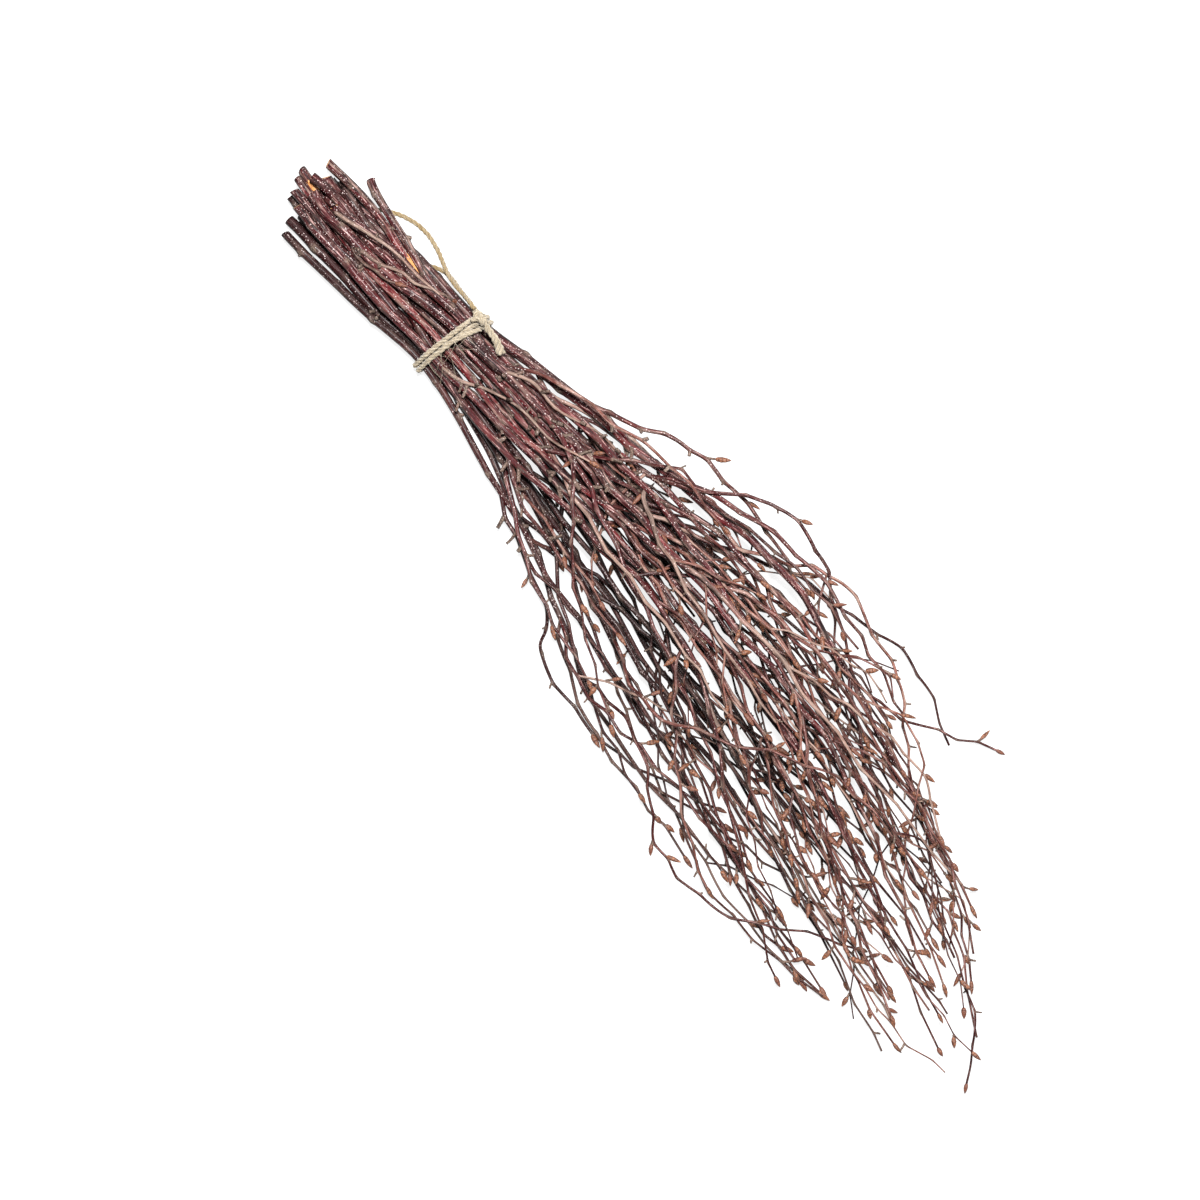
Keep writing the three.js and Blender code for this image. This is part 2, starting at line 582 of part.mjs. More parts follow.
// A rounded lump, fuller at its corners than an ellipsoid.
function knotMesh(knot) {
  const geometry = new THREE.SphereGeometry(0.5, KNOT_AROUND, KNOT_UP);
  const corners = geometry.attributes.position;
  for (let i = 0; i < corners.count; i++) {
    const corner = new THREE.Vector3().fromBufferAttribute(corners, i).normalize();
    const cubes = Math.abs(corner.x) ** 3 + Math.abs(corner.y) ** 3 + Math.abs(corner.z) ** 3;
    corner.multiplyScalar(0.5 / Math.cbrt(cubes));
    corners.setXYZ(i, corner.x, corner.y, corner.z);
  }
  const mesh = new THREE.Mesh(geometry, jute);
  const along = new THREE.Vector3(1, 0, 0);
  const axes = new THREE.Matrix4().makeBasis(along, knot.out.clone().cross(along), knot.out);
  mesh.scale.set(...KNOT_SIZE);
  mesh.quaternion.setFromRotationMatrix(axes);
  mesh.position.copy(knot.middle);
  return mesh;
}

// ------------------------------------------------------------------ the bundle

const bark = new THREE.MeshStandardMaterial({ color: 0x5a3434, roughness: 0.5, metalness: 0 });
const jute = new THREE.MeshStandardMaterial({ color: 0xc9b48c, roughness: 0.9, metalness: 0 });

const lines = grow();
const stems = lines.slice(0, BRANCHES.length);
settle(lines, [], ROUNDS);
let knot = knotPlace(wrapPoints(turnOutline(stems)));
settle(lines, [tailLine(knot), loopLine(knot)], ROUNDS_WITH_TWINE);
knot = knotPlace(wrapPoints(turnOutline(stems)));
const tail = tailLine(knot);
const loop = loopLine(knot);
settle(lines, [tail, loop], 0);
const wrap = wrapPoints(turnOutline(stems));

const bundle = new THREE.Group();
function add(name, mesh) {
  mesh.name = name;
  bundle.add(mesh);
}
stems.forEach((stem, i) => {
  const own = lines.filter((line) => line.branch === i);
  add(`branch_${String(i + 1).padStart(2, "0")}`, new THREE.Mesh(branchGeometry(own), bark));
});
add("twine_wrap", new THREE.Mesh(twineGeometry(wrap), jute));
add("twine_knot", knotMesh(knot));
add("twine_tail", new THREE.Mesh(taperedTube(tail, TWINE_SIDES), jute));
add("twine_loop", new THREE.Mesh(twineGeometry(loop.points), jute));
const middle = new THREE.Box3().setFromObject(bundle).getCenter(new THREE.Vector3());
bundle.position.set(-middle.x, -middle.y, 0);

export default bundle;
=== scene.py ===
# A bundle of dried birch branches, tied with jute twine, lying on a pale floor.
# The lengths here are millimetres, with x from the foremost cut end towards the tips, y
# across the bundle and z up from the floor. What goes to Blender is moved and scaled to
# the frame's metres by `to_frame`. The camera, the floor and the lights are in metres.
import math

import bpy
import numpy as np
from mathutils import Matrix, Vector


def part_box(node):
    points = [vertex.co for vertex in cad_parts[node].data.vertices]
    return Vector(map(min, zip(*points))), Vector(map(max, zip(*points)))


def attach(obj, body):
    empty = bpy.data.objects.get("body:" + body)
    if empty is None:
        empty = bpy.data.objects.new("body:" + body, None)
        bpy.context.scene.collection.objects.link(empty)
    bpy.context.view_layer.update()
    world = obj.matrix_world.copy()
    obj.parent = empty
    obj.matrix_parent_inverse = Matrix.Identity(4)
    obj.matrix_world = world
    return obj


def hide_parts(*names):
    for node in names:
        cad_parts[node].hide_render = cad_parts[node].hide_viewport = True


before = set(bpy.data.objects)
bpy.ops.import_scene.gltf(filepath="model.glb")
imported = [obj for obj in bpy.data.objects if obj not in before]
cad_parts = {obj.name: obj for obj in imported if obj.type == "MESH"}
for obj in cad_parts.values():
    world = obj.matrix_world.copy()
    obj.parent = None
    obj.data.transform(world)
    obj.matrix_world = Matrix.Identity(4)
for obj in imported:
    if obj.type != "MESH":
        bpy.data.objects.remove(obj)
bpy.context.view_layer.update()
MM = 0.001

# ------------------------------------------------------------------ the bundle's plan

LENGTH = 595  # foremost cut end to the last tip
TIE_AT = 120  # foremost cut end to the middle of the twine
HANDLE_HEIGHT = 20
FAN_HEIGHT = 56
TIP_DIAMETER = 1.1
TWINE_DIAMETER = 2.6
TWINE_PITCH = 3.1  # from one turn of the twine to the next
KNOT_SIZE = (10, 9, 6)  # along the bundle, along the turns, and outwards
TAIL_END_DIAMETER = 4.8  # where the tail's plies fray apart
TAIL_FRAYS_FROM = 0.5  # the share of the tail before that
GAP = 0.45  # left between neighbouring pieces

STATIONS = [30, 70, 120, 175, 245, 325, 415]
FAN_AT = (245, 400)
# Each branch: cut end, diameter there, y at each of STATIONS, tip, and height among the
# others at the tie, in the fan and at the tip.
BRANCHES = [
    ((5, 9.5), 5.2, (14, 14.5, 20.5, 30, 38, 48, 50), (545, 22), (0.5, 0.6, 0.4)),
    ((26, 22.5), 4.6, (21.3, 17, 15, 20, 30, 36, 38), (530, 28), (0.85, 0.7, 0.5)),
    ((10, 3), 7.7, (4.5, 15, 23.5, 40, 58, 77, 70), (520, 57), (0.45, 0.55, 0.3)),
    ((28, -3), 5.4, (-2.5, 9.5, 21, 35, 46, 47, 48), (485, 46), (0.95, 0.95, 0.9)),
    ((15, -5.5), 6.8, (-5.5, 2.5, 17, 26, 34, 42, 44), (535, 18), (0.95, 0.85, 0.7)),
    ((0, -3.5), 5.2, (-3, -1, 8, 14, 18, 12, -3), (545, -12), (0.5, 0.5, 0.2)),
    ((7, -2.5), 5.4, (2, 6, 12, 19, 24, 30, 28), (555, 10), (0.75, 0.75, 0.5)),
    ((3, -9), 5.0, (-8, -4, 3, 6.5, 25, 47, 52), (505, 60), (0.7, 1.0, 0.8)),
    ((7, -12), 5.0, (-9.5, -7.5, -5, -4.5, 8.5, 14, -22), (490, -48), (0.8, 0.9, 0.3)),
    ((7, -15.5), 4.4, (-12, -9, -3, 1, 2, 4, -5), (555, -25), (0.35, 0.45, 0.2)),
    ((15, -15), 5.2, (-12.5, -11, -4, 5, 16, 26, 30), (570, 0), (0.9, 0.7, 0.5)),
    ((18, -18.5), 4.4, (-16, -9, 0, -2, -4, -8, -14), (525, -8), (0.2, 0.2, 0.1)),
    ((17, -24.5), 5.8, (-22, -16.5, -8, -6, -8, -10, -10), (515, -20), (0.45, 0.3, 0.05)),
    ((22, -30), 4.6, (-28.5, -21, -9.5, -14.5, -22, -25, -30), (510, -32), (0.5, 0.1, 0.0)),
    ((13, 6), 5.2, (8, 8, 4, 10, 6, -2, 8), (540, 15), (0.1, 0.0, 0.0)),
    ((5, -6), 5.6, (-5, -4, 13, 16, 28, 32, 28), (525, 25), (0.15, 0.3, 0.2)),
    ((13, -1), 5.2, (0, 2, 18, 28, 45, 62, 62), (480, 60), (0.2, 0.05, 0.0)),
    ((17, -12), 4.8, (-11, -10, -5.5, -9, -22, -42, -38), (485, -30), (0.05, 0.1, 0.0)),
    ((11, -8), 5.0, (-6, 5, 20, 33, 52, 68, 66), (495, 62), (0.3, 0.6, 0.5)),
    ((20, -20), 4.8, (-18, -13, 8, 12, 12, 20, 12), (560, 15), (0.1, 0.05, 0.0)),
    ((22, 3), 5.0, (4, 3, -3, -2, -4, -20, -28), (500, -38), (0.6, 0.2, 0.1)),
    ((16, 8), 4.8, (9, 12, 10, 24, 40, 56, 56), (515, 40), (0.3, 0.45, 0.3)),
    ((24, -8), 5.0, (-8, -4, 5, 10, 20, 22, 18), (550, 8), (0.4, 0.75, 0.6)),
    ((19, -3), 4.6, (-3, 4, 16, 24, 36, 52, 58), (500, 52), (0.6, 0.3, 0.4)),
]

# The side shoots that give the bundle its outline: the branch that each grows on, counted
# from 1, its diameter, and the x, y and height that it passes through.
OUTLINE_SHOOTS = [
    (3, 2.6, [(205, 55, 0.6), (233, 74, 0.6), (265, 82, 0.55), (300, 84, 0.5), (345, 79, 0.5),
              (400, 74, 0.4)]),
    (19, 3.2, [(272, 80, 0.7), (290, 96, 0.7), (325, 99, 0.65), (355, 87, 0.6), (395, 77, 0.5),
               (427, 92, 0.3), (462, 117, 0.05)]),
    (19, 2.2, [(320, 86, 0.5), (338, 100, 0.5), (375, 98, 0.5), (408, 93, 0.45), (437, 73, 0.4),
               (480, 64, 0.35)]),
    (17, 2.0, [(320, 82, 0.15), (350, 92, 0.2), (390, 107, 0.15), (420, 104, 0.05), (445, 98, 0)]),
    (4, 2.2, [(485, 56, 0.8), (515, 40, 0.7), (555, 31, 0.6), (582, 14, 0.4), (595, 1, 0.3)]),
    (14, 2.4, [(228, -26, 0.2), (265, -34, 0.1), (280, -50, 0), (330, -52, 0), (365, -40, 0.1),
               (400, -22, 0.2)]),
    (18, 2.6, [(300, -41, 0.5), (335, -38, 0.6), (372, -32, 0.6), (425, -29, 0.5),
               (470, -28, 0.4)]),
    (18, 2.0, [(345, -33, 0.8), (378, -49, 0.7), (403, -58, 0.6), (445, -50, 0.6), (480, -20, 0.6),
               (502, -4, 0.5)]),
    (13, 2.4, [(330, -21, 1.0), (368, 0, 1.0), (397, 24, 1.0), (425, 40, 1.0), (470, 44, 0.9)]),
    (5, 3.0, [(205, 25, 1.0), (240, 19, 1.0), (275, 12, 0.95), (330, 2, 0.9), (380, -10, 0.8),
              (430, -24, 0.7)]),
]

UPPER_EDGE = [(120, 28), (155, 38), (185, 47), (225, 60), (275, 80), (325, 92), (375, 92),
              (425, 84), (475, 66), (525, 50), (575, 22), (595, 4)]
LOWER_EDGE = [(120, -12), (155, -13), (185, -17), (225, -25), (275, -40), (325, -50),
              (425, -50), (475, -44), (525, -30), (575, -8), (595, 0)]
HEIGHT_SHARE = [(120, 0), (185, 0.25), (250, 0.6), (325, 1), (400, 0.95), (480, 0.6),
                (560, 0.3), (595, 0.2)]

# The loop's route in metres, with x from the tie: from the knot along the bundle's edge,
# out over the floor in a bow, in under the stems and back to the knot.
LOOP_ROUTE = [
    (-0.0065, 0.0286, 0.0259), (-0.011, 0.0285, 0.025), (-0.016, 0.028, 0.02),
    (-0.023, 0.0272, 0.0142), (-0.031, 0.0272, 0.0082), (-0.04, 0.029, 0.003),
    (-0.049, 0.0306, 0.0015), (-0.058, 0.0304, 0.0014), (-0.067, 0.0276, 0.0014),
    (-0.076, 0.022, 0.0014), (-0.083, 0.0145, 0.0014), (-0.088, 0.006, 0.0014),
    (-0.087, -0.003, 0.0014), (-0.081, -0.0085, 0.0014), (-0.072, -0.0085, 0.0014),
    (-0.063, -0.0035, 0.0014), (-0.055, 0.005, 0.0014), (-0.048, 0.014, 0.0014),
    (-0.041, 0.022, 0.0014), (-0.034, 0.0264, 0.0022), (-0.027, 0.0278, 0.0056),
    (-0.021, 0.0278, 0.0104), (-0.016, 0.028, 0.0154), (-0.011, 0.0284, 0.021),
    (-0.0065, 0.0284, 0.0222),
]
LOOP_START = (-6.5, 28.5, 24)  # the knot's side, between the two ends as drawn
LOOP_END_POINTS = 5  # how many at each end follow the knot, ever less
LOOP_STEPS = 44
DENSE = 2000  # points on the loop's curve, from which its steps are spaced out
TAIL_ROUTE = [(0, -0.4, -0.8), (4, -0.2, -1.1), (8, -0.2, -1.9), (12, -1.1, -2.6),
              (16, -2.2, -2.9)]
KNOT_DIRECTION = 27  # degrees up from +Y, seen from the tie's middle
KNOT_OFFSET = -1  # along the bundle, from the tie

SIDE_SHOOTS = 3  # further ones on each branch
SHOOTS_FROM = 20  # from the tie to the first of them
SHOOTS_OVER = 250  # the length of branch that they start on
SHOOT_LENGTH = (105, 200)  # least and most, as the next two
SHOOT_APART = (10, 32)  # from their stem, to one side
SHOOT_DIAMETER = (2, 3)  # at the base
SHOOT_LIFT = 0.5  # from the lowest to the highest, as a share of the bundle's height
SHOOTS_SINKING = 0.45  # the share of them that lie below their stem
SHOOT_SHARES = (0.22, 0.45, 0.72, 1)  # of a shoot's length, where it is drawn through
SHOOT_BEND = 3  # how soon a shoot has gone its way to the side and runs beside its stem
SHOOTS_END = 6  # how far short of the last tip they stop
HIGHEST = 1.05  # a shoot's height, as a share of the bundle's
SEED = 20
STEM_STEP = 22  # between a stem's points, about
SHOOT_STEP = 26
STEM_TAPER = 0.83  # the share of its thickness that a stem loses
STEM_TAPER_POWER = 1.15  # over 1, it loses more of it towards the tip
SHOOT_TAPER_POWER = 0.8
SHOOT_AT_MOST = 0.8  # times the radius of the stem that it grows on
JOINT_BEFORE = 0.6  # times SHOOT_STEP, from the joint to a shoot's first place

ROUNDS = 130  # in which the branches also spring back to their own lines
ROUNDS_WITH_TWINE = 60  # and again once the twine is there
FREE_ROUNDS = 90  # after those, in which they are only moved apart
ROUNDS_A_SEARCH = 10  # from one search for near pairs to the next
SEARCH_REACH = 20
OVERSHOOT = 1.4  # how much further than needed a touching pair is moved, in a round
EVENING = 0.35  # how much of a bend in a line's shift is smoothed out, in a round
SPRING = 0.985  # the share of a line's shift that a round keeps
UNDER_TIE = 16  # how far to each side of the tie the twine holds the stems up
MOST = 1.25  # times what is missing that a bead is pushed, near a held one

CORNERS_A_STEM = 24  # on a stem's own outline
STEPS_A_TURN = 44


# ------------------------------------------------------------------ numbers and curves

def draws(seed):
    """A function that draws numbers between 0 and 1, the same on each run (mulberry32)."""
    mask = 0xFFFFFFFF
    state = seed

    def draw():
        nonlocal state
        state = (state + 0x6D2B79F5) & mask
        t = ((state ^ (state >> 15)) * (state | 1)) & mask
        t = ((t + (((t ^ (t >> 7)) * (t | 61)) & mask)) & mask) ^ t
        return ((t ^ (t >> 14)) & mask) / 4294967296

    return draw


def at(table, x):
    """The value at x in a table of (x, value), with straight lines between its rows."""
    return np.interp(x, [row[0] for row in table], [row[1] for row in table])


def full_height(x):
    return HANDLE_HEIGHT + at(HEIGHT_SHARE, x) * (FAN_HEIGHT - HANDLE_HEIGHT)


def place(x, y, height):
    return (x, y, height * full_height(x))


def spline(through, shares, centripetal=False):
    """Points of the Catmull-Rom curve through the given ones, at shares of its way."""
    p = np.asarray(through, float)
    last = len(p) - 1
    p = np.vstack([2 * p[0] - p[1], p, 2 * p[-1] - p[-2]])
    spot = np.asarray(shares) * last
    i = np.minimum(spot.astype(int), last - 1)
    w = (spot - i)[:, None]
    p0, p1, p2, p3 = p[i], p[i + 1], p[i + 2], p[i + 3]
    if centripetal:
        pairs = ((p0, p1), (p1, p2), (p2, p3))
        gap = [np.sqrt(np.linalg.norm(b - a, axis=1))[:, None] for a, b in pairs]
        t0 = gap[1] * ((p1 - p0) / gap[0] - (p2 - p0) / (gap[0] + gap[1]) + (p2 - p1) / gap[1])
        t1 = gap[1] * ((p2 - p1) / gap[1] - (p3 - p1) / (gap[1] + gap[2]) + (p3 - p2) / gap[2])
    else:
        t0, t1 = 0.5 * (p2 - p0), 0.5 * (p3 - p1)
    c2 = -3 * p1 + 3 * p2 - 2 * t0 - t1
    c3 = 2 * p1 - 2 * p2 + t0 + t1
    return p1 + t0 * w + c2 * w**2 + c3 * w**3


def smooth(through, step):
    through = np.asarray(through, float)
    length = np.linalg.norm(np.diff(through, axis=0), axis=1).sum()
    count = max(4, int(math.floor(length / step + 0.5)))
    return spline(through, np.arange(count + 1) / count)


def arc_lengths(points):
    return np.concatenate([[0], np.cumsum(np.linalg.norm(np.diff(points, axis=0), axis=1))])


def spaced(points, count):
    """That many points, evenly spaced, and one more, along straight lines through the points."""
    s = arc_lengths(points)
    even = np.linspace(0, s[-1], count + 1)
    return np.column_stack([np.interp(even, s, axis) for axis in points.T])


def round_off(points, times):
    """Rounds the corners of a line a little, as many times as that."""
    for _ in range(times):
        points[1:-1] = 0.25 * points[:-2] + 0.5 * points[1:-1] + 0.25 * points[2:]
    return points


def unit(v):
    return v / np.maximum(np.linalg.norm(v, axis=-1, keepdims=True), 1e-9)


# ------------------------------------------------------------------ growth, as in the CAD model

def heights(row):
    at_tie, in_fan, at_tip = row[4]
    return [(TIE_AT, at_tie), (FAN_AT[0], in_fan), (FAN_AT[1], in_fan), (row[3][0], at_tip)]


def stem_line(branch, row):
    cut, diameter, ys, tip, _ = row
    through = [cut, *zip(STATIONS, ys), tip]
    points = smooth([place(x, y, at(heights(row), x)) for x, y in through], STEM_STEP)
    share = np.arange(len(points)) / (len(points) - 1)
    left = 1 - STEM_TAPER * share**STEM_TAPER_POWER
    radii = np.maximum(diameter / 2 * left, TIP_DIAMETER / 2)
    return {"branch": branch, "points": points, "radii": radii, "stem": None}


def shoot_line(stem, through, diameter):
    before = through[0][0] - JOINT_BEFORE * SHOOT_STEP
    joint = max(1, int(np.nonzero(stem["points"][:, 0] < before)[0][-1]))
    points = smooth([stem["points"][joint], *through], SHOOT_STEP)
    base = min(diameter / 2, SHOOT_AT_MOST * stem["radii"][joint])
    share = np.arange(len(points)) / (len(points) - 1)
    radii = base + (TIP_DIAMETER / 2 - base) * share**SHOOT_TAPER_POWER
    return {"branch": stem["branch"], "points": points, "radii": radii, "stem": stem, "joint": joint}


def drawn_shoot(stem, row, number, draw):
    def between(least, most):
        return least + (most - least) * draw()

    start = TIE_AT + SHOOTS_FROM + SHOOTS_OVER * (number + draw()) / SIDE_SHOOTS
    length = between(*SHOOT_LENGTH)
    apart = between(*SHOOT_APART) * (1 if (number + stem["branch"]) % 2 else -1)
    lift = SHOOT_LIFT * (draw() - SHOOTS_SINKING)
    diameter = between(*SHOOT_DIAMETER)
    middle = [*zip(STATIONS[2:], row[2][2:]), row[3]]
    through = []
    for share in SHOOT_SHARES:
        x = min(start + length * share, LENGTH - SHOOTS_END)
        out = 1 - math.exp(-SHOOT_BEND * share)
        y = np.clip(at(middle, x) + apart * out, at(LOWER_EDGE, x), at(UPPER_EDGE, x))
        through.append(place(x, y, np.clip(at(heights(row), x) + lift * out, 0, HIGHEST)))
    return shoot_line(stem, through, diameter)


def grow():
    stems = [stem_line(i, row) for i, row in enumerate(BRANCHES)]
    shoots = []
    for on, diameter, through in OUTLINE_SHOOTS:
        shoots.append(shoot_line(stems[on - 1], [place(*p) for p in through], diameter))
    draw = draws(SEED)
    for stem, row in zip(stems, BRANCHES):
        shoots += [drawn_shoot(stem, row, number, draw) for number in range(SIDE_SHOOTS)]
    return stems + shoots


# ------------------------------------------------------------------ settling

def near_pairs(p, link, branch, free):
    """The pairs of links, of different branches and not both fixed, that could soon meet."""
    a, b = p[link], p[link + 1]
    low = np.minimum(a, b) - SEARCH_REACH / 2
    high = np.maximum(a, b) + SEARCH_REACH / 2
    first, second = [], []
    for i in np.nonzero(free)[0]:
        meets = np.all((low <= high[i]) & (high >= low[i]), axis=1) & (branch != branch[i])
        meets &= ~free | (np.arange(len(link)) > i)
        j = np.nonzero(meets)[0]
        first.append(np.full(len(j), i))
        second.append(j)
    return np.concatenate(first), np.concatenate(second)


def nearest(a0, a1, b0, b1):
    """The nearest points of pairs of segments, as shares of each."""
    u, v, w = a1 - a0, b1 - b0, a0 - b0
    uu, uv, vv = (u * u).sum(1), (u * v).sum(1), (v * v).sum(1)
    uw, vw = (u * w).sum(1), (v * w).sum(1)
    apart = uu * vv - uv * uv
    clear = apart > 1e-9 * uu * vv
    s = np.where(clear, np.clip((uv * vw - uw * vv) / np.where(clear, apart, 1), 0, 1), 0.5)
    t = (uv * s + vw) / vv
    outside = (t < 0) | (t > 1)
    t = np.clip(t, 0, 1)
    return np.where(outside, np.clip((uv * t - uw) / uu, 0, 1), s), t


def settle(lines, fixed, rounds, free_rounds=FREE_ROUNDS, gap=GAP):
    """Moves the lines apart until no two branches meet each other, a fixed line, the floor or
    the twine below the tie. A line with `held` keeps its first point."""
    every = lines + fixed
    count = [len(line["points"]) for line in every]
    start = np.concatenate([[0], np.cumsum(count)])
    end = start[len(lines)]
    p = np.concatenate([line["points"] for line in every])
    own = p.copy()
    radius = np.concatenate([line["radii"] for line in every])
    held = [start[i] for i, line in enumerate(lines) if line.get("held")]
    give = 1 / radius
    give[end:] = 0
    give[held] = 0
    before, after = np.arange(len(p)) - 1, np.arange(len(p)) + 1
    before[start[:-1]] = start[:-1]
    after[start[1:] - 1] = start[1:] - 1
    link = np.setdiff1d(np.arange(len(p)), start[1:] - 1)
    branch = np.repeat([line.get("branch", -1) for line in every], np.array(count) - 1)
    number = {id(line): i for i, line in enumerate(lines)}
    joined = [(start[i], start[number[id(line["stem"])]] + line["joint"])
              for i, line in enumerate(lines) if line["stem"] is not None]
    feet, joints = np.array(joined, int).reshape(-1, 2).T
    stems_end = start[sum(line["stem"] is None for line in lines)]
    stem_beads = np.setdiff1d(np.arange(stems_end), held)
    shoot_beads = np.setdiff1d(np.arange(stems_end, end), feet)

    def spring_back(beads):
        moved = p - own
        even = 0.5 * (moved[before[beads]] + moved[after[beads]])
        p[beads] = own[beads] + SPRING * (moved[beads] * (1 - EVENING) + even * EVENING)

    for turn in range(rounds + free_rounds):
        if turn % ROUNDS_A_SEARCH == 0:
            i, j = near_pairs(p, link, branch, link < end)
            a0, a1, b0, b1 = link[i], link[i] + 1, link[j], link[j] + 1
        s, t = nearest(p[a0], p[a1], p[b0], p[b1])
        away = p[a0] + (p[a1] - p[a0]) * s[:, None] - p[b0] - (p[b1] - p[b0]) * t[:, None]
        distance = np.maximum(np.linalg.norm(away, axis=1), 1e-6)
        radii = radius[a0] * (1 - s) + radius[a1] * s + radius[b0] * (1 - t) + radius[b1] * t
        missing = radii + gap - distance
        hit = missing > 0
        shares = [(a0[hit], 1 - s[hit]), (a1[hit], s[hit]), (b0[hit], t[hit] - 1), (b1[hit], -t[hit])]
        total = np.maximum(sum(give[bead] * share**2 for bead, share in shares), 1e-12)
        push, pushes = np.zeros_like(p), np.zeros(len(p))
        for bead, share in shares:
            amount = missing[hit] / distance[hit] * np.clip(give[bead] * share / total, -MOST, MOST)
            moved = (give[bead] > 0) & (share != 0)
            np.add.at(push, bead[moved], away[hit][moved] * amount[moved, None])
            np.add.at(pushes, bead[moved], 1)
        p += push * (OVERSHOOT / np.maximum(pushes, 1))[:, None]
        if turn < rounds:
            spring_back(stem_beads)
        p[feet] = p[joints]
        if turn < rounds:
            spring_back(shoot_beads)
        twine = np.where(np.abs(p[:, 0] - TIE_AT) < UNDER_TIE, TWINE_DIAMETER + 2 * GAP, 0)
        p[:, 2] = np.where(give > 0, np.maximum(p[:, 2], radius + twine), p[:, 2])
    for line, a, b in zip(lines, start[:-1], start[1:]):
        line["points"] = p[a:b].copy()


# ------------------------------------------------------------------ where the twine goes

def turn_outline(stems):
    """The convex line, (y, z), that the middle of a tight turn of twine follows."""
    spots = []
    for x in (TIE_AT - TWINE_PITCH, TIE_AT, TIE_AT + TWINE_PITCH):
        for stem in stems:
            points, radii = stem["points"], stem["radii"]
            i = int(np.argmax(points[:, 0] > x))
            share = (x - points[i - 1][0]) / (points[i][0] - points[i - 1][0])
            middle = points[i - 1] + (points[i] - points[i - 1]) * share
            radius = radii[i - 1] + GAP + TWINE_DIAMETER / 2
            for k in range(CORNERS_A_STEM):
                angle = 2 * math.pi * k / CORNERS_A_STEM
                spots.append((middle[1] + radius * math.cos(angle), middle[2] + radius * math.sin(angle)))
    spots.sort()

    def half(row):
        chain = []
        for spot in row:
            while len(chain) > 1 and not turns_left(chain[-2], chain[-1], spot):
                chain.pop()
            chain.append(spot)
        return chain[:-1]

    return half(spots) + half(spots[::-1])


def turns_left(a, b, c):
    return (b[0] - a[0]) * (c[1] - a[1]) - (b[1] - a[1]) * (c[0] - a[0]) > 1e-9


def turn_ring(outline):
    """The outline as a closed line that starts and ends below the knot."""
    low, high = np.min(outline, axis=0), np.max(outline, axis=0)
    y0, z0 = (low + high) / 2
    angle = math.radians(KNOT_DIRECTION)
    beside = [(z - z0) * math.cos(angle) - (y - y0) * math.sin(angle) for y, z in outline]
    following = beside[1:] + beside[:1]
    edge = next(i for i, (a, b) in enumerate(zip(beside, following)) if a <= 0 < b)
    a, b = np.array(outline[edge]), np.array(outline[(edge + 1) % len(outline)])
    foot = a + (b - a) * beside[edge] / (beside[edge] - following[edge])
    return np.array([foot, *outline[edge + 1:], *outline[:edge + 1], foot])


def wrap_points(outline, steps):
    """Two turns round the stems, each beside the last, with that many steps a turn."""
    ring = spaced(turn_ring(outline), steps)
    turns = np.vstack([ring[:-1], ring])
    x = TIE_AT + TWINE_PITCH * (np.arange(2 * steps + 1) / steps - 1)
    return np.column_stack([x, turns])


def knot_place(outline):
    """The knot's middle, the way the turns run below it, and the way out."""
    points = wrap_points(outline, STEPS_A_TURN)
    foot = points[STEPS_A_TURN]
    run = unit((points[STEPS_A_TURN + 1] - points[STEPS_A_TURN - 1]) * (0, 1, 1))
    out = np.array([0, run[2], -run[1]])
    middle = foot + out * (TWINE_DIAMETER / 2 + GAP + KNOT_SIZE[2] / 2)
    middle[0] = TIE_AT + KNOT_OFFSET
    return {"middle": middle, "run": run, "out": out}


def knot_side(knot, way):
    return knot["middle"] + (way * (KNOT_SIZE[0] / 2 + GAP), 0, 0)


def loop_line(knot):
    tie = np.array([TIE_AT, 0, 0])
    shift = knot_side(knot, -1) - tie - LOOP_START
    route = np.array(LOOP_ROUTE) / MM
    from_end = np.minimum(np.arange(len(route)), np.arange(len(route))[::-1])
    share = np.maximum(1 - from_end / LOOP_END_POINTS, 0)[:, None]
    dense = spline(route + tie + share * shift, np.linspace(0, 1, DENSE), centripetal=True)
    points = spaced(dense, LOOP_STEPS)
    return {"points": points, "radii": np.full(len(points), TWINE_DIAMETER / 2)}


def tail_line(knot):
    points = np.array(TAIL_ROUTE) + knot_side(knot, 1)
    share = np.arange(len(points)) / (len(points) - 1)
    frayed = np.clip((share - TAIL_FRAYS_FROM) / (1 - TAIL_FRAYS_FROM), 0, 1)
    radii = (TWINE_DIAMETER + frayed * (TAIL_END_DIAMETER - TWINE_DIAMETER)) / 2
    return {"points": points, "radii": radii}


lines = grow()
stems = lines[:len(BRANCHES)]
settle(lines, [], ROUNDS)
knot = knot_place(turn_outline(stems))
settle(lines, [tail_line(knot), loop_line(knot)], ROUNDS_WITH_TWINE)
knot = knot_place(turn_outline(stems))
tail = tail_line(knot)
loop = loop_line(knot)
settle(lines, [tail, loop], 0)
outline = turn_outline(stems)

low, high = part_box("twine_knot")
ORIGIN = knot["middle"] - np.array((low + high) / 2) / MM


def to_frame(points):
    return (np.asarray(points) - ORIGIN) * MM


# ------------------------------------------------------------------ camera, floor and light

VIEW_TURN = 54.46  # degrees, from the bundle's length to the picture's right
VIEW_MIDDLE = (-0.0226, -0.0373, 0.01)
VIEW_WIDTH = 0.6316  # at the middle's height
LENS = 100  # the lens and the sensor in millimetres, as on a camera
SENSOR = 36
FLOOR = 3  # from its middle to each side
FLOOR_GLOW = 0.86
SKY = 0.08
# The lamps: name, place, diameter and watts. Each faces the bundle's middle.
LAMPS = [
    ("overhead", (-0.3, 0.22, 1.75), 0.35, 88),
    ("side", (0.9, 1.3, 1.1), 0.4, 12),
]


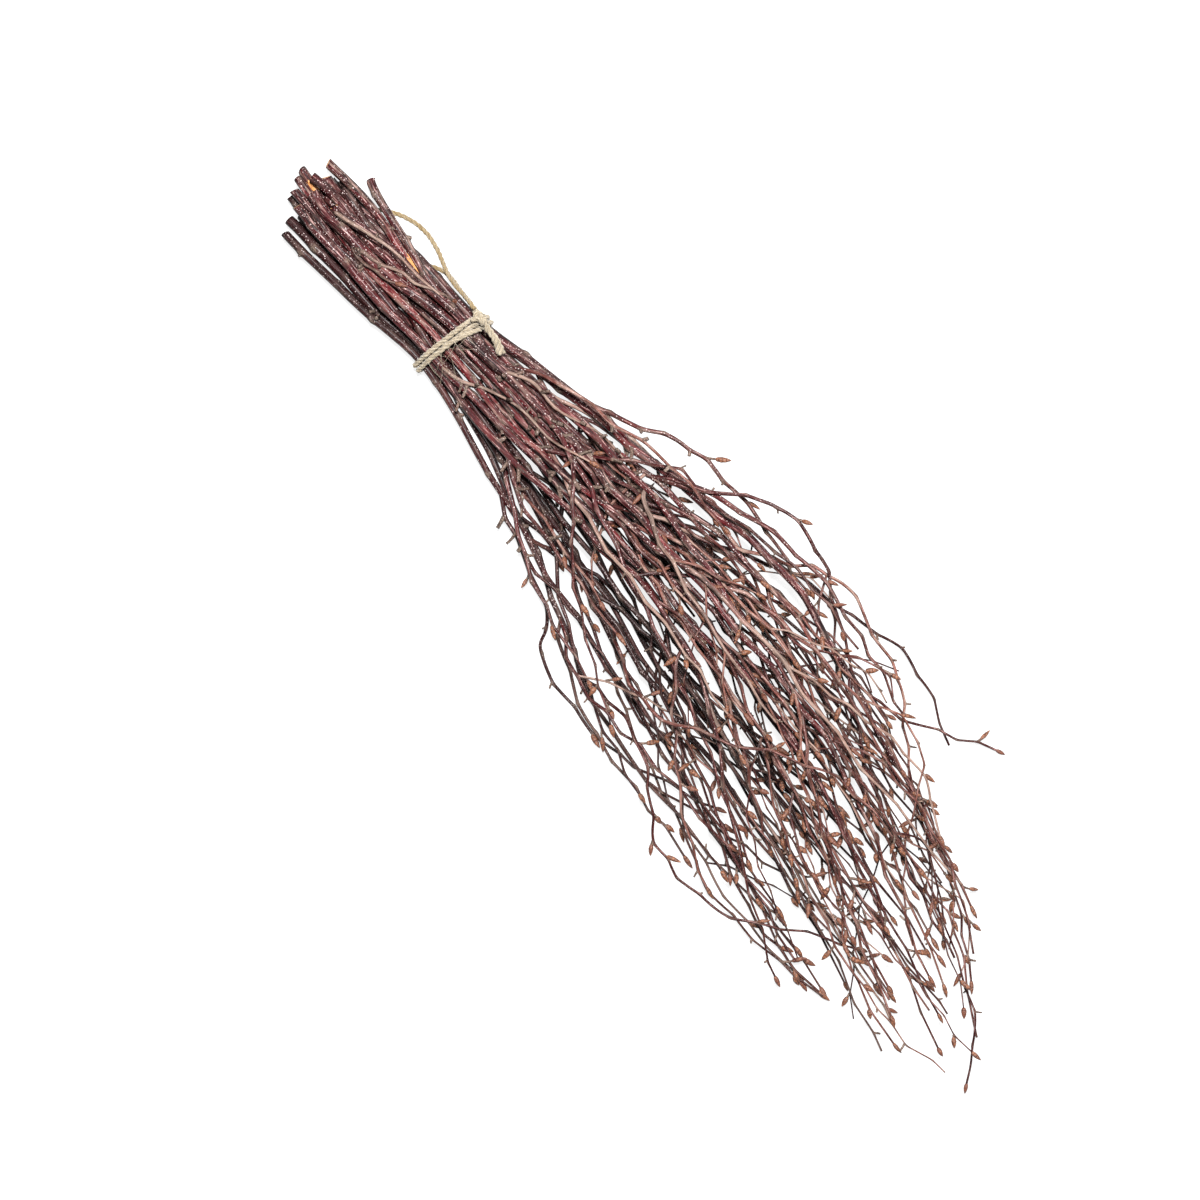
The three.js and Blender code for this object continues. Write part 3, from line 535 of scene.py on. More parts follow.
def add_camera():
    camera = bpy.data.objects.new("camera", bpy.data.cameras.new("camera"))
    camera.data.lens = LENS
    camera.data.sensor_width = SENSOR
    camera.location = Vector(VIEW_MIDDLE) + Vector((0, 0, VIEW_WIDTH * LENS / SENSOR))
    camera.rotation_euler = (0, 0, math.radians(VIEW_TURN))
    bpy.context.scene.collection.objects.link(camera)
    bpy.context.scene.camera = camera


def add_lamp(name, spot, size, watts):
    light = bpy.data.lights.new(name, "AREA")
    light.shape = "DISK"
    light.size = size
    light.energy = watts
    lamp = bpy.data.objects.new(name, light)
    lamp.location = spot
    lamp.rotation_euler = (-Vector(spot)).to_track_quat("-Z", "Y").to_euler()
    bpy.context.scene.collection.objects.link(lamp)


def add_stage():
    mesh = bpy.data.meshes.new("floor")
    corners = [(-FLOOR, -FLOOR, 0), (FLOOR, -FLOOR, 0), (FLOOR, FLOOR, 0), (-FLOOR, FLOOR, 0)]
    mesh.from_pydata(corners, [], [(0, 1, 2, 3)])
    mesh.materials.append(floor_material())
    floor = bpy.data.objects.new("floor", mesh)
    bpy.context.scene.collection.objects.link(floor)
    world = bpy.data.worlds.new("studio")
    world.use_nodes = True
    sky = world.node_tree.nodes["Background"]
    sky.inputs["Color"].default_value = (1, 1, 1, 1)
    sky.inputs["Strength"].default_value = SKY
    bpy.context.scene.world = world
    bpy.context.scene.view_settings.view_transform = "Standard"
    for row in LAMPS:
        add_lamp(*row)


# ------------------------------------------------------------------ materials

# Each mesh carries three values for its material. `skin` is the place on the piece as if it
# were straight, in millimetres: across, across and along. `look` is how much of a node or
# scale edge is there, the line's own tint, its radius in RADIUS_UNIT, and how bare it is; the
# tint's shade is dark as painted shade on lines that lie deep in the bundle. The third value
# sets painted shade: it is less on the undersides and deep in the bundle, where little light reaches.
RADIUS_UNIT = 5
SHADES = 7.0  # a tint times this leaves a shade after the point
DEEP = 0.45  # the share of the bundle's height that the deep lines lie below; they get painted shade
PORES = ((0.68, 0.25, 0.62), (1.3, 0.33, 0.75))  # how fine, how large and how rare they are


def linear(*rgb):
    """A colour given as 0 to 255 the way screens do, as Blender's linear one."""
    return (*[(c / 255 / 12.92) if c <= 10 else ((c / 255 + 0.055) / 1.055) ** 2.4 for c in rgb], 1)


class Shader:
    """A material's node tree, with a short call for each kind of node used here."""

    def __init__(self, name):
        self.material = bpy.data.materials.new(name)
        self.material.use_nodes = True
        self.tree = self.material.node_tree
        self.surface = self.tree.nodes["Principled BSDF"]
        self.colour = None

    def wire(self, socket, value):
        if isinstance(value, bpy.types.NodeSocket):
            self.tree.links.new(value, socket)
        else:
            socket.default_value = value

    def node(self, kind, output, **inputs):
        """A new node's output, with its inputs wired to the values given."""
        node = self.tree.nodes.new("ShaderNode" + kind)
        for name, value in inputs.items():
            self.wire(node.inputs[name.replace("_", " ")], value)
        return node.outputs[output]

    def set(self, **values):
        for name, value in values.items():
            self.wire(self.surface.inputs[name.replace("_", " ")], value)

    def attribute(self, name):
        node = self.tree.nodes.new("ShaderNodeAttribute")
        node.attribute_name = name
        return node.outputs

    def skin(self):
        return self.attribute("skin")["Vector"]

    def split(self, vector):
        node = self.tree.nodes.new("ShaderNodeSeparateXYZ")
        self.wire(node.inputs[0], vector)
        return node.outputs

    def scaled(self, vector, scale):
        return self.node("Mapping", 0, Vector=vector, Scale=scale)

    def noise(self, vector, scale, detail, roughness=0.5):
        return self.node("TexNoise", "Fac", Vector=vector, Scale=scale, Detail=detail, Roughness=roughness)

    def grain(self, skin, across, along, detail=3, roughness=0.6):
        """Noise that is as fine as these two scales across the piece and along it."""
        return self.noise(self.scaled(skin, (across, across, along)), 1.0, detail, roughness)

    def steps(self, value, low, high, to_low=0.0, to_high=1.0):
        inputs = dict(Value=value, From_Min=low, From_Max=high, To_Min=to_low, To_Max=to_high)
        result = self.node("MapRange", 0, **inputs)
        result.node.interpolation_type = "SMOOTHSTEP"
        return result

    def math(self, operation, a, b=0.0):
        node = self.tree.nodes.new("ShaderNodeMath")
        node.operation = operation
        self.wire(node.inputs[0], a)
        self.wire(node.inputs[1], b)
        return node.outputs[0]

    def times(self, a, b):
        return self.math("MULTIPLY", a, b)

    def plus(self, a, b):
        return self.math("ADD", a, b)

    def mix(self, share, a, b):
        node = self.tree.nodes.new("ShaderNodeMix")
        node.data_type = "RGBA"
        self.wire(node.inputs["Factor"], share)
        self.wire(node.inputs["A"], a)
        self.wire(node.inputs["B"], b)
        return node.outputs["Result"]

    def lay(self, share, *rgb):
        """Lays a share of a colour over the colour so far."""
        self.colour = self.mix(share, self.colour, linear(*rgb))

    def bump(self, height, distance, strength):
        return self.node("Bump", 0, Height=height, Distance=distance, Strength=strength)


def floor_material():
    s = Shader("floor")
    where = s.tree.nodes.new("ShaderNodeTexCoord").outputs["Object"]
    paper = s.noise(where, 900, 3)
    s.set(Base_Color=s.mix(paper, linear(122, 122, 122), linear(128, 128, 128)), Roughness=0.9)
    s.set(Emission_Color=(1, 1, 1, 1), Emission_Strength=FLOOR_GLOW)
    s.set(Normal=s.bump(paper, 0.00004, 0.4), Specular_IOR_Level=0.1)
    return s.material


def bark_pores(s, skin):
    """Pale breathing pores, wider than they are long, some of them large."""
    pores = 0.0
    for scale, size, rare in PORES:
        cell = s.scaled(skin, (scale, scale, 0.75 * scale))
        spot = s.node("TexVoronoi", "Distance", Vector=cell, Scale=1.0)
        which = s.split(spot.node.outputs["Color"])[0]
        dot = s.times(s.steps(spot, size, 0.55 * size), s.steps(which, rare, rare + 0.05))
        pores = s.math("MAXIMUM", pores, dot)
    return pores


def bark_base(s, tint, radius, patches):
    """Thin bark by its tint, and thick bark from near-black purple through red-brown to red."""
    ripe = s.mix(s.steps(patches, 0.34, 0.62), linear(25, 10, 12), linear(72, 24, 27))
    red = s.steps(s.plus(patches, s.times(tint, 0.25)), 0.70, 0.86)
    ripe = s.mix(red, ripe, linear(92, 23, 27))
    young = s.mix(s.steps(tint, 0.15, 0.85), linear(62, 22, 20), linear(122, 78, 66))
    dark = s.mix(0.7, young, linear(40, 13, 14))
    young = s.mix(s.steps(patches, 0.35, 0.65), dark, young)
    return s.mix(s.steps(radius, 0.14, 0.30), young, ripe)


def bark_material():
    s = Shader("bark")
    skin = s.skin()
    look = s.attribute("look")
    knob, tint, radius = s.split(look["Vector"])
    bare = look["Alpha"]
    patches = s.grain(skin, 0.22, 0.03, 3, 0.7)
    streaks = s.grain(skin, 1.3, 0.10, 4, 0.66)
    fine = s.grain(skin, 5.0, 0.8)
    thick = s.steps(radius, 0.14, 0.30)
    s.colour = bark_base(s, tint, radius, patches)
    # pale streaks: partly the bark's own bloom, partly a painted highlight along the stems
    s.lay(s.steps(streaks, 0.53, 0.66, 0, 0.55), 172, 130, 124)
    s.lay(s.steps(streaks, 0.47, 0.36, 0, 0.9), 14, 6, 8)
    # painted highlight: narrow pale streaks along the thick stems
    s.lay(s.times(s.steps(streaks, 0.60, 0.66, 0, 0.5), thick), 198, 164, 160)
    # a gray film in patches, and all along the grayest twigs
    film = s.times(s.steps(s.grain(skin, 0.5, 0.07), 0.50, 0.66), s.steps(tint, 0.25, 0.9, 0.15, 0.95))
    s.lay(s.times(film, s.steps(radius, 0.3, 0.2, 0.45, 0.7)), 162, 136, 124)
    old = s.times(s.steps(tint, 0.84, 0.9, 0, 0.6), s.steps(radius, 0.3, 0.22))
    s.lay(s.times(old, s.steps(streaks, 0.38, 0.56, 0.35, 1.0)), 152, 132, 120)
    # a tone by line: random, and painted shade for the lines that lie deep in the bundle
    shade = s.math("FRACT", s.times(tint, SHADES))
    s.lay(s.steps(shade, 0.45, 0.1, 0, 0.7), 30, 11, 11)
    # the gray, cracked skin round nodes and spurs
    knobby = s.mix(s.steps(fine, 0.35, 0.65), linear(34, 24, 22), linear(160, 142, 126))
    s.colour = s.mix(s.times(knob, s.steps(streaks, 0.35, 0.6, 0.35, 1.0)), s.colour, knobby)
    pores = s.times(bark_pores(s, skin), s.steps(radius, 0.14, 0.3, 0.25, 1))
    s.lay(s.times(pores, 0.85), 220, 200, 196)
    flecks = s.grain(skin, 2.6, 1.3, 2, 0.5)
    s.lay(s.times(s.steps(flecks, 0.71, 0.77, 0, 0.4), thick), 190, 164, 160)
    # painted shade: the undersides, and what lies deep in the bundle, are darkened where little light
    # reaches them
    lit_share = s.attribute("lit_share")["Fac"]
    painted_shade = s.steps(s.plus(lit_share, s.times(fine, 0.2)), 0.86, 0.34, 0, 0.9)
    s.lay(s.times(painted_shade, s.steps(radius, 0.15, 0.3, 0.8, 1)), 20, 8, 7)
    # where the bark has come away
    wood = s.mix(streaks, linear(176, 104, 58), linear(226, 166, 108))
    edge = s.plus(bare, s.times(s.math("SUBTRACT", streaks, 0.5), 1.2))
    s.colour = s.mix(s.times(s.steps(edge, 0.42, 0.52), s.steps(bare, 0.05, 0.3)), s.colour, wood)
    relief = s.plus(s.times(streaks, 0.6), s.times(fine, 0.35))
    relief = s.plus(relief, s.times(pores, 0.35))
    relief = s.plus(relief, s.times(s.times(knob, fine), 0.9))
    s.set(Base_Color=s.colour, Normal=s.bump(relief, 0.0006, 0.9))
    s.set(Roughness=s.steps(s.plus(fine, s.times(knob, 0.5)), 0.3, 0.9, 0.3, 0.6))
    s.set(Specular_IOR_Level=0.12, Coat_Weight=0.07, Coat_Roughness=0.2)
    return s.material


def bud_material():
    s = Shader("bud")
    skin = s.skin()
    edge, tint, _ = s.split(s.attribute("look")["Vector"])
    streaks = s.grain(skin, 3.0, 0.6)
    mottle = s.noise(skin, 0.9, 3, 0.6)
    s.colour = s.mix(s.steps(mottle, 0.35, 0.68), linear(66, 37, 28), linear(136, 86, 60))
    s.lay(s.times(s.steps(tint, 0.55, 0.95), 0.6), 92, 50, 40)
    s.lay(s.times(edge, 0.75), 70, 38, 28)
    # painted highlight: pale streaks along the scales
    s.lay(s.steps(streaks, 0.56, 0.72, 0, 0.4), 198, 152, 114)
    s.set(Base_Color=s.colour, Normal=s.bump(s.math("SUBTRACT", streaks, edge), 0.0003, 0.8))
    s.set(Roughness=s.steps(streaks, 0.3, 0.8, 0.42, 0.62), Specular_IOR_Level=0.45)
    return s.material


def wood_material():
    s = Shader("cut_wood")
    skin = s.skin()
    x, y, _ = s.split(skin)
    away = s.math("SQRT", s.plus(s.times(x, x), s.times(y, y)))
    grain = s.noise(skin, 3.2, 3, 0.7)
    rings = s.math("SINE", s.times(s.plus(away, s.times(grain, 0.35)), 11.0))
    s.colour = s.mix(s.steps(rings, -0.6, 1.0), linear(196, 132, 82), linear(228, 178, 124))
    s.lay(s.steps(grain, 0.5, 0.72, 0, 0.6), 150, 92, 62)
    s.lay(s.steps(away, 0.42, 0.25), 120, 70, 46)
    s.set(Base_Color=s.colour, Roughness=s.steps(grain, 0.2, 0.8, 0.7, 0.92))
    s.set(Normal=s.bump(s.plus(grain, s.times(rings, 0.15)), 0.00025, 0.8))
    return s.material


def jute_material():
    s = Shader("jute")
    skin = s.skin()
    _, tint, _ = s.split(s.attribute("look")["Vector"])
    fibres = s.grain(skin, 9.0, 0.55, 3, 0.65)
    coarse = s.grain(skin, 2.2, 0.30)
    patches = s.grain(skin, 0.3, 0.05, 2, 0.5)
    s.colour = s.mix(s.steps(fibres, 0.36, 0.62), linear(104, 90, 71), linear(178, 165, 142))
    # pale coarse fibres: partly the jute's own colour, partly a painted highlight
    s.lay(s.steps(coarse, 0.52, 0.70, 0, 0.6), 212, 202, 182)
    s.lay(s.times(s.steps(patches, 0.40, 0.62), s.steps(tint, 0.2, 0.9, 0.1, 0.95)), 122, 100, 66)
    s.lay(s.steps(tint, 0.6, 0.9, 0, 0.6), 134, 112, 72)
    s.set(Base_Color=s.colour, Roughness=s.steps(fibres, 0.2, 0.8, 0.72, 0.92))
    s.set(Normal=s.bump(s.plus(fibres, coarse), 0.00035, 0.9))
    s.set(Specular_IOR_Level=0.3, Sheen_Weight=0.25, Sheen_Roughness=0.45)
    return s.material


# ------------------------------------------------------------------ meshes

BARK, BUD, WOOD = 0, 1, 2
JUTE = 0
CUT_RINGS = (0.86, 0.45)  # on a cut end, as shares of its radius; bark lies outside the first
SLANT_FADES = 2.5  # radii from a slanted end to where the rings are square again
FAN_OPENS = 40  # past the tie, where `off_middle` reaches its full value
CROWN = 0.75  # how much lower the bundle's upper side is at its edges, in its square
SPARSE_FROM = (0.3, 400)  # off the middle, and along: where the fan begins to thin out
SPARSE_OVER = (0.4, 120)  # and over what further share or length it does
DEEP_LIT = 0.28  # the least light share by depth, for the painted shade
UNDER_LIT = 0.25  # the least light share by facing, for the painted shade


def frames(points):
    """The way ahead at each point of a line, and two directions square to it, which turn no
    more than the line does."""
    ahead = unit(np.gradient(points, axis=0))
    side = np.zeros_like(points)
    last = np.array([0, 0, 1.0]) if abs(ahead[0][2]) < 0.9 else np.array([1.0, 0, 0])
    for i, way in enumerate(ahead):
        last = unit(last - way * (last @ way))
        side[i] = last
    return ahead, side, np.cross(ahead, side)


def off_middle(p):
    """How far across the bundle a place lies, or each of many: 0 in its middle, 1 at its edge."""
    low, high = at(LOWER_EDGE, p[..., 0]), at(UPPER_EDGE, p[..., 0])
    opened = np.clip((p[..., 0] - TIE_AT) / FAN_OPENS, 0, 1)
    return (2 * p[..., 1] - low - high) / (high - low) * opened


def top_at(p):
    """The height of the bundle's upper side above a place, or above each of many."""
    return full_height(p[..., 0]) * np.sqrt(np.maximum(1 - CROWN * off_middle(p) ** 2, 0.1))


def lit_share_at(spots, up):
    """How lit each spot is, for painted shade: it depends on how high it lies, and how much it faces
    upwards.
    """
    across = (abs(off_middle(spots)) - SPARSE_FROM[0]) / SPARSE_OVER[0]
    along = (spots[:, 0] - SPARSE_FROM[1]) / SPARSE_OVER[1]
    high = np.clip(np.maximum(spots[:, 2] / top_at(spots), np.maximum(across, along)), 0, 1)
    by_depth = DEEP_LIT + (1 - DEEP_LIT) * high**1.3
    return by_depth * (UNDER_LIT + (1 - UNDER_LIT) * np.clip(up, 0, 1))


class Piece:
    """The parts of one mesh as they are gathered."""

    def __init__(self):
        self.spots, self.skins, self.looks, self.faces, self.kinds = [], [], [], [], []
        self.size = 0

    def add(self, spots, skin, look):
        self.spots.append(spots.reshape(-1, 3))
        self.skins.append(skin.reshape(-1, 3))
        self.looks.append(look.reshape(-1, 4))
        self.size += len(self.spots[-1])

    def face(self, corners, kind, flip=False):
        self.faces.append(corners[::-1] if flip else corners)
        self.kinds.append(kind)

    def tube(self, points, radii, sides, look, kind, along, start=None, relief=None, slant=None):
        """A tapered tube. `look` is one row or a row for each ring or corner, and `relief` adds
        to each corner's radius. `start` is the material of a cut first end, and without it the
        end is plain. `slant` is how it is cut, as a share of the radius each way."""
        rings = len(points)
        ahead, side, third = frames(points)
        angle = 2 * np.pi * np.arange(sides) / sides
        cos, sin = np.cos(angle), np.sin(angle)
        out = side[:, None] * cos[None, :, None] + third[:, None] * sin[None, :, None]
        size = np.repeat(np.asarray(radii, float)[:, None], sides, axis=1)
        if relief is not None:
            size = size + relief
        spots = points[:, None] + out * size[..., None]
        s = arc_lengths(points) + along
        skin = np.stack([size * cos, size * sin, np.repeat(s[:, None], sides, axis=1)], axis=-1)
        if slant is not None:
            fade = np.clip(1 - (s - along) / (SLANT_FADES * size[0].mean()), 0, 1)[:, None]
            shift = fade * (slant[0] * skin[..., 0] + slant[1] * skin[..., 1])
            spots += ahead[:, None] * shift[..., None]
        look = np.asarray(look, float)
        look = look if look.ndim == 3 else look.reshape(-1, 1, 4)
        look = np.broadcast_to(look, (rings, sides, 4))
        first = self.size
        self.add(spots, skin, look)
        for ring in range(rings - 1):
            base = first + ring * sides
            self.stitch(base, base + sides, sides, kind, False)
        self.close(first, spots[0], skin[0], look[0], start, kind, True)
        self.close(first + (rings - 1) * sides, spots[-1], skin[-1], look[-1], None, kind, False)

    def close(self, first, spots, skin, look, cut, kind, flip):
        """Closes a tube's end, with a rim of bark round it where it is cut."""
        sides = len(spots)
        middle, own = spots.mean(0), skin.mean(0)
        for share in CUT_RINGS if cut is not None else ():
            here = self.size
            self.add(middle + (spots - middle) * share, own + (skin - own) * share, look)
            self.stitch(first, here, sides, kind if share == CUT_RINGS[0] else cut, flip)
            first = here
        self.add(middle[None], own[None], look[:1])
        for k in range(sides):
            corners = (first + k, first + (k + 1) % sides, self.size - 1)
            self.face(corners, kind if cut is None else cut, flip)

    def stitch(self, a, b, sides, kind, flip):
        """Joins two rings of corners, which start at these numbers."""
        for k in range(sides):
            after = (k + 1) % sides
            self.face((a + k, a + after, b + after, b + k), kind, flip)

    def build(self, name, materials, node):
        spots = np.concatenate(self.spots)
        mesh = bpy.data.meshes.new(name)
        mesh.from_pydata(to_frame(spots).tolist(), [], self.faces)
        for material in materials:
            mesh.materials.append(material)
        mesh.polygons.foreach_set("material_index", self.kinds)
        mesh.polygons.foreach_set("use_smooth", [True] * len(self.kinds))
        mesh.update()
        normals = np.empty(3 * len(spots), np.float32)
        mesh.vertex_normals.foreach_get("vector", normals)
        for label, kind, field, values in (
            ("skin", "FLOAT_VECTOR", "vector", np.concatenate(self.skins)),
            ("look", "FLOAT_COLOR", "color", np.concatenate(self.looks)),
            ("lit_share", "FLOAT", "value", lit_share_at(spots, normals[2::3])),
        ):
            attribute = mesh.attributes.new(label, kind, "POINT")
            attribute.data.foreach_set(field, values.astype(np.float32).ravel())
        thing = bpy.data.objects.new(name, mesh)
        bpy.context.scene.collection.objects.link(thing)
        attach(thing, "root")
        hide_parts(node)
        return thing


# ------------------------------------------------------------------ fine growth

UP = np.array([0, 0, 1.0])
FINE_STEP = 1.5  # between a fine line's rings
SHOOT_SWELL = 1.15  # how much thicker the shoots are than the plain solids' flat-sided ones
THICK = 2  # the radius at its foot from which a line counts as thick
STEM_NODES = (26, 16)  # the usual way between nodes, and how much it varies
SHOOT_NODES = (14, 12)
NODES_END = 8  # how far short of a line's tip they stop
HANDLE_KINKS = (0.25, 0.45)  # least and further reach of a kink up to HANDLE_END, then beyond it
FAN_KINKS = (0.6, 1.2)
HANDLE_END = 200
NODE_LENGTH = 1.6  # of the swelling at a node
NODE_HEIGHT = 0.34
PHASES = 6.28  # how far a drawn phase may go, in radians
FULL_TURN = 6.283  # radians, near enough for a drawn direction

TWIG_STEP = (8, 9)  # least length of a twig's straight steps, and how much more it may be
TWIG_KINK = (6, 13)  # the same for the kinks between them, in degrees
TWIG_AIM = (60, 8)  # how far past the last tip, and at which y, the twigs aim
TWIG_BOUNDS = (0.8, 1.1)  # how far off the middle a twig is turned back, and where it ends
STEEPEST = 0.4
TWIG_TIP = 0.42  # radius
TWIGS_END = 530
# How much denser the twigs start, at shares of the way from the fan's lower edge to its upper.
CORE = [(0, 0.1), (0.3, 0.25), (0.5, 1.1), (0.65, 1.35), (0.85, 1.1), (1, 0.6)]

# Where the bark has come away: a place and how far along and across it reaches.
BARE_PATCHES = [((10, -3.5, 14), 4.5, 2.6), ((76, 13.5, 16), 7, 2.4), ((40, -16, 12), 3, 2)]
BUD_RINGS = 15
BUD_SCALES = 3.6
BUD_LENGTH = (5.2, 3.2)  # least, and how much more it may be, as the next one
BUD_WIDTH = (1.9, 0.9)
# Thin gray twigs that lie over the stems of the handle: their branch, radius and the x, y
# that they pass through.
OVERLYING = [
    (4, 1.05, [(30, -2.5), (36, -0.5), (48, 4.5), (64, 10.5), (83, 13.5), (97, 17)]),
    (6, 0.95, [(51, -5), (56, -2.5), (66, 1), (76, 8), (84, 9.5), (93, 16), (102, 21)]),
    (6, 0.8, [(50, -6), (58, -6.5), (67, -3), (74, -1.5), (79, 2)]),
    (12, 0.9, [(128, -4), (140, 0), (152, 9), (170, 17), (192, 20), (214, 30)]),
    (1, 0.9, [(150, 22), (163, 30), (182, 32), (205, 43), (228, 46)]),
]
# Clusters of spurs: their x, y and how many spurs they have.
KNOTTY = [((55, -5), 6), ((59, -7.5), 5), ((84, -17), 3), ((150, 18), 5), ((187, 26), 4),
          ((206, 8), 4)]
BUDLESS = (14, 12)  # before and after the tie, where the twine lies and nothing grows
NECK_END = 240
HANDLE_SPURS = 0.22  # the share of nodes that have one
NECK_SPURS = 0.45
NECK_BUDS = 0.06  # the share of those spurs that end in a bud
FAN_BUDS = [(240, 0.09), (330, 0.13), (430, 0.24), (520, 0.42)]
FAN_STUBS = 0.2
TIP_BUDS = 0.75


def fine_line(line, draw):
    """The line with a kink at each node, where buds and twigs grow on alternate sides."""
    thick = line["radii"][0] > THICK
    dense = spline(line["points"], np.linspace(0, 1, 12 * len(line["points"])))
    count = int(arc_lengths(dense)[-1] / FINE_STEP)
    points = spaced(dense, count)
    s = arc_lengths(points)
    share = np.linspace(0, 1, len(line["radii"]))
    radii = np.interp(np.linspace(0, 1, count + 1), share, line["radii"])
    if not thick:
        radii = radii * SHOOT_SWELL
    usual, more = STEM_NODES if thick else SHOOT_NODES
    nodes = [usual * draw()]
    while nodes[-1] < s[-1] - NODES_END:
        nodes.append(nodes[-1] + usual * 0.7 + more * draw())
    nodes = np.array(nodes[:-1] or [s[-1] / 2])
    spot = np.clip((nodes / FINE_STEP).astype(int), 0, count)
    ahead = unit(np.gradient(points, axis=0))[spot]
    flat = unit(np.cross(UP, ahead))
    side = []
    for i, (level, upward) in enumerate(zip(flat, np.cross(ahead, flat))):
        tilt = (draw() - 0.5) * 1.6
        side.append((1 if i % 2 else -1) * (level * math.cos(tilt) + upward * math.sin(tilt)))
    shift = [np.zeros(3)]
    for k, way in zip(spot, side):
        least, further = HANDLE_KINKS if points[k][0] < HANDLE_END else FAN_KINKS
        shift.append(way * (least + further * draw()))
    # a node sticks out to its own side, and the line runs straight between nodes
    shift = np.array([*shift, np.zeros(3)])
    knots = np.concatenate([[0], nodes, [s[-1]]])
    bent = round_off(points + np.column_stack([np.interp(s, knots, axis) for axis in shift.T]), 1)
    return {"branch": line["branch"], "points": bent, "radii": radii, "s": s, "nodes": nodes,
            "spot": spot, "side": np.array(side), "tint": draw(), "thick": thick}


def twig_line(branch, start, heading, length, radius, draw):
    """A twig that walks forward in straight steps, with a kink and a node at each."""
    p, way = np.array(start), unit(np.array(heading, float))
    points = [p]
    turn = 1 if draw() < 0.5 else -1
    level = 0.15 + 0.8 * draw()
    pull = 0.08 + 0.2 * draw()
    gone = 0
    while gone < length:
        step = TWIG_STEP[0] + TWIG_STEP[1] * draw()
        inwards = 0.35 if p[0] < 400 else 0.8
        ahead = unit(np.array([LENGTH + TWIG_AIM[0] - p[0], (TWIG_AIM[1] - p[1]) * inwards, 0]))
        angle = turn * math.radians(TWIG_KINK[0] + TWIG_KINK[1] * draw())
        turn = -turn
        way = unit(way + pull * ahead)
        flat = unit(np.cross(UP, way))
        way = unit(way * math.cos(angle) + flat * math.sin(angle))
        low, high = at(LOWER_EDGE, p[0]), at(UPPER_EDGE, p[0])
        out = (p[1] - (low + high) / 2) / ((high - low) / 2)
        if abs(out) > TWIG_BOUNDS[1]:
            break
        if abs(out) > TWIG_BOUNDS[0]:
            way = unit(way - np.array([0, 0.5 * np.sign(out) * (abs(out) - TWIG_BOUNDS[0]) * 4, 0]))
        climb = np.clip((level * top_at(p) - p[2]) / 30, -STEEPEST, STEEPEST)
        way[2] = 0.75 * way[2] + 0.25 * climb
        way = unit(way + np.array([0, 0, 0.16 * (draw() - 0.5)]))
        p = p + way * step
        p[2] = max(p[2], radius + 0.3)
        if p[0] > LENGTH - 3:
            break
        points.append(p)
        gone += step
    if len(points) < 3:
        return None
    radii = radius + (TWIG_TIP - radius) * np.linspace(0, 1, len(points))
    return {"branch": branch, "points": np.array(points), "radii": radii, "stem": None,
            "held": True, "tint": draw()}


def fine_twig(line):
    """A settled twig, with its corners rounded a little."""
    corners = line["points"]
    s = arc_lengths(corners)
    count = max(6, int(s[-1] / FINE_STEP))
    points = round_off(spaced(corners, count), 2)
    radii = np.interp(np.linspace(0, 1, count + 1), s / s[-1], line["radii"])
    nodes = s[1:-1]
    spot = np.clip((nodes / s[-1] * count).astype(int), 1, count - 1)
    side = unit(2 * corners[1:-1] - corners[:-2] - corners[2:])
    return {"branch": line["branch"], "points": points, "radii": radii, "s": arc_lengths(points),
            "nodes": nodes, "spot": spot, "side": side, "tint": line["tint"], "thick": False}


def node_relief(line, sides, draw):
    """How far each corner stands out: the swellings at nodes, flutes and unevenness."""
    s, radii = line["s"], line["radii"]
    angle = 2 * np.pi * np.arange(sides) / sides
    _, side, third = frames(line["points"])
    relief = np.zeros((len(s), sides))
    knobs = np.zeros((len(s), sides))
    for at_s, k, way in zip(line["nodes"], line["spot"], line["side"]):
        size = 0.75 + 0.6 * draw()
        length = NODE_LENGTH * size * (1.1 if line["thick"] else 0.8)
        bell = np.exp(-((s - at_s) / length) ** 2)
        towards = math.atan2(way @ third[k], way @ side[k])
        one_sided = 0.12 + 0.88 * np.clip(np.cos(angle - towards), 0, 1) ** 2
        height = NODE_HEIGHT * size * (0.55 + radii[k] * 0.35)
        relief += height * bell[:, None] * (0.12 + one_sided)[None, :]
        knobs = np.maximum(knobs, bell[:, None] * one_sided * min(1, size))
    a, b, c = (PHASES * draw() for _ in range(3))
    along = s[:, None]
    flutes = 0.022 * np.sin(2 * angle[None] + a + along * 0.07)
    flutes = flutes + 0.018 * np.sin(3 * angle[None] + b - along * 0.05)
    flutes = flutes + 0.025 * np.sin(along / 6 + c)
    rough = np.array([draw() - 0.5 for _ in range(len(s))])[:, None] * 0.02
    return relief + (flutes + rough) * radii[:, None], knobs


def above_floor(points, radii):
    points[:, 2] = np.maximum(points[:, 2], np.asarray(radii) + 0.15)
    return points


def tint_with_painted_shade(line):
    """A tint whose shade, the part after the point once it is multiplied by SHADES, is dark for a line
    that lies deep: painted shade, where little light reaches into the bundle. Other lines keep a random
    tone."""
    fan = line["points"][line["points"][:, 0] > TIE_AT]
    if not len(fan):
        return line["tint"]
    up = np.mean([p[2] / top_at(p) for p in fan[::8]])
    whole, shade = divmod(line["tint"] * SHADES, 1)
    shade = 0.3 * shade if up < DEEP else 0.25 + 0.75 * shade
    return (whole + min(shade, 0.99)) / SHADES


def bare_at(points):
    bare = np.zeros(len(points))
    for middle, along, across in BARE_PATCHES:
        away = (points - middle) / (along, across, 3 * across)
        bare = np.maximum(bare, np.exp(-(away**2).sum(1)))
    return bare


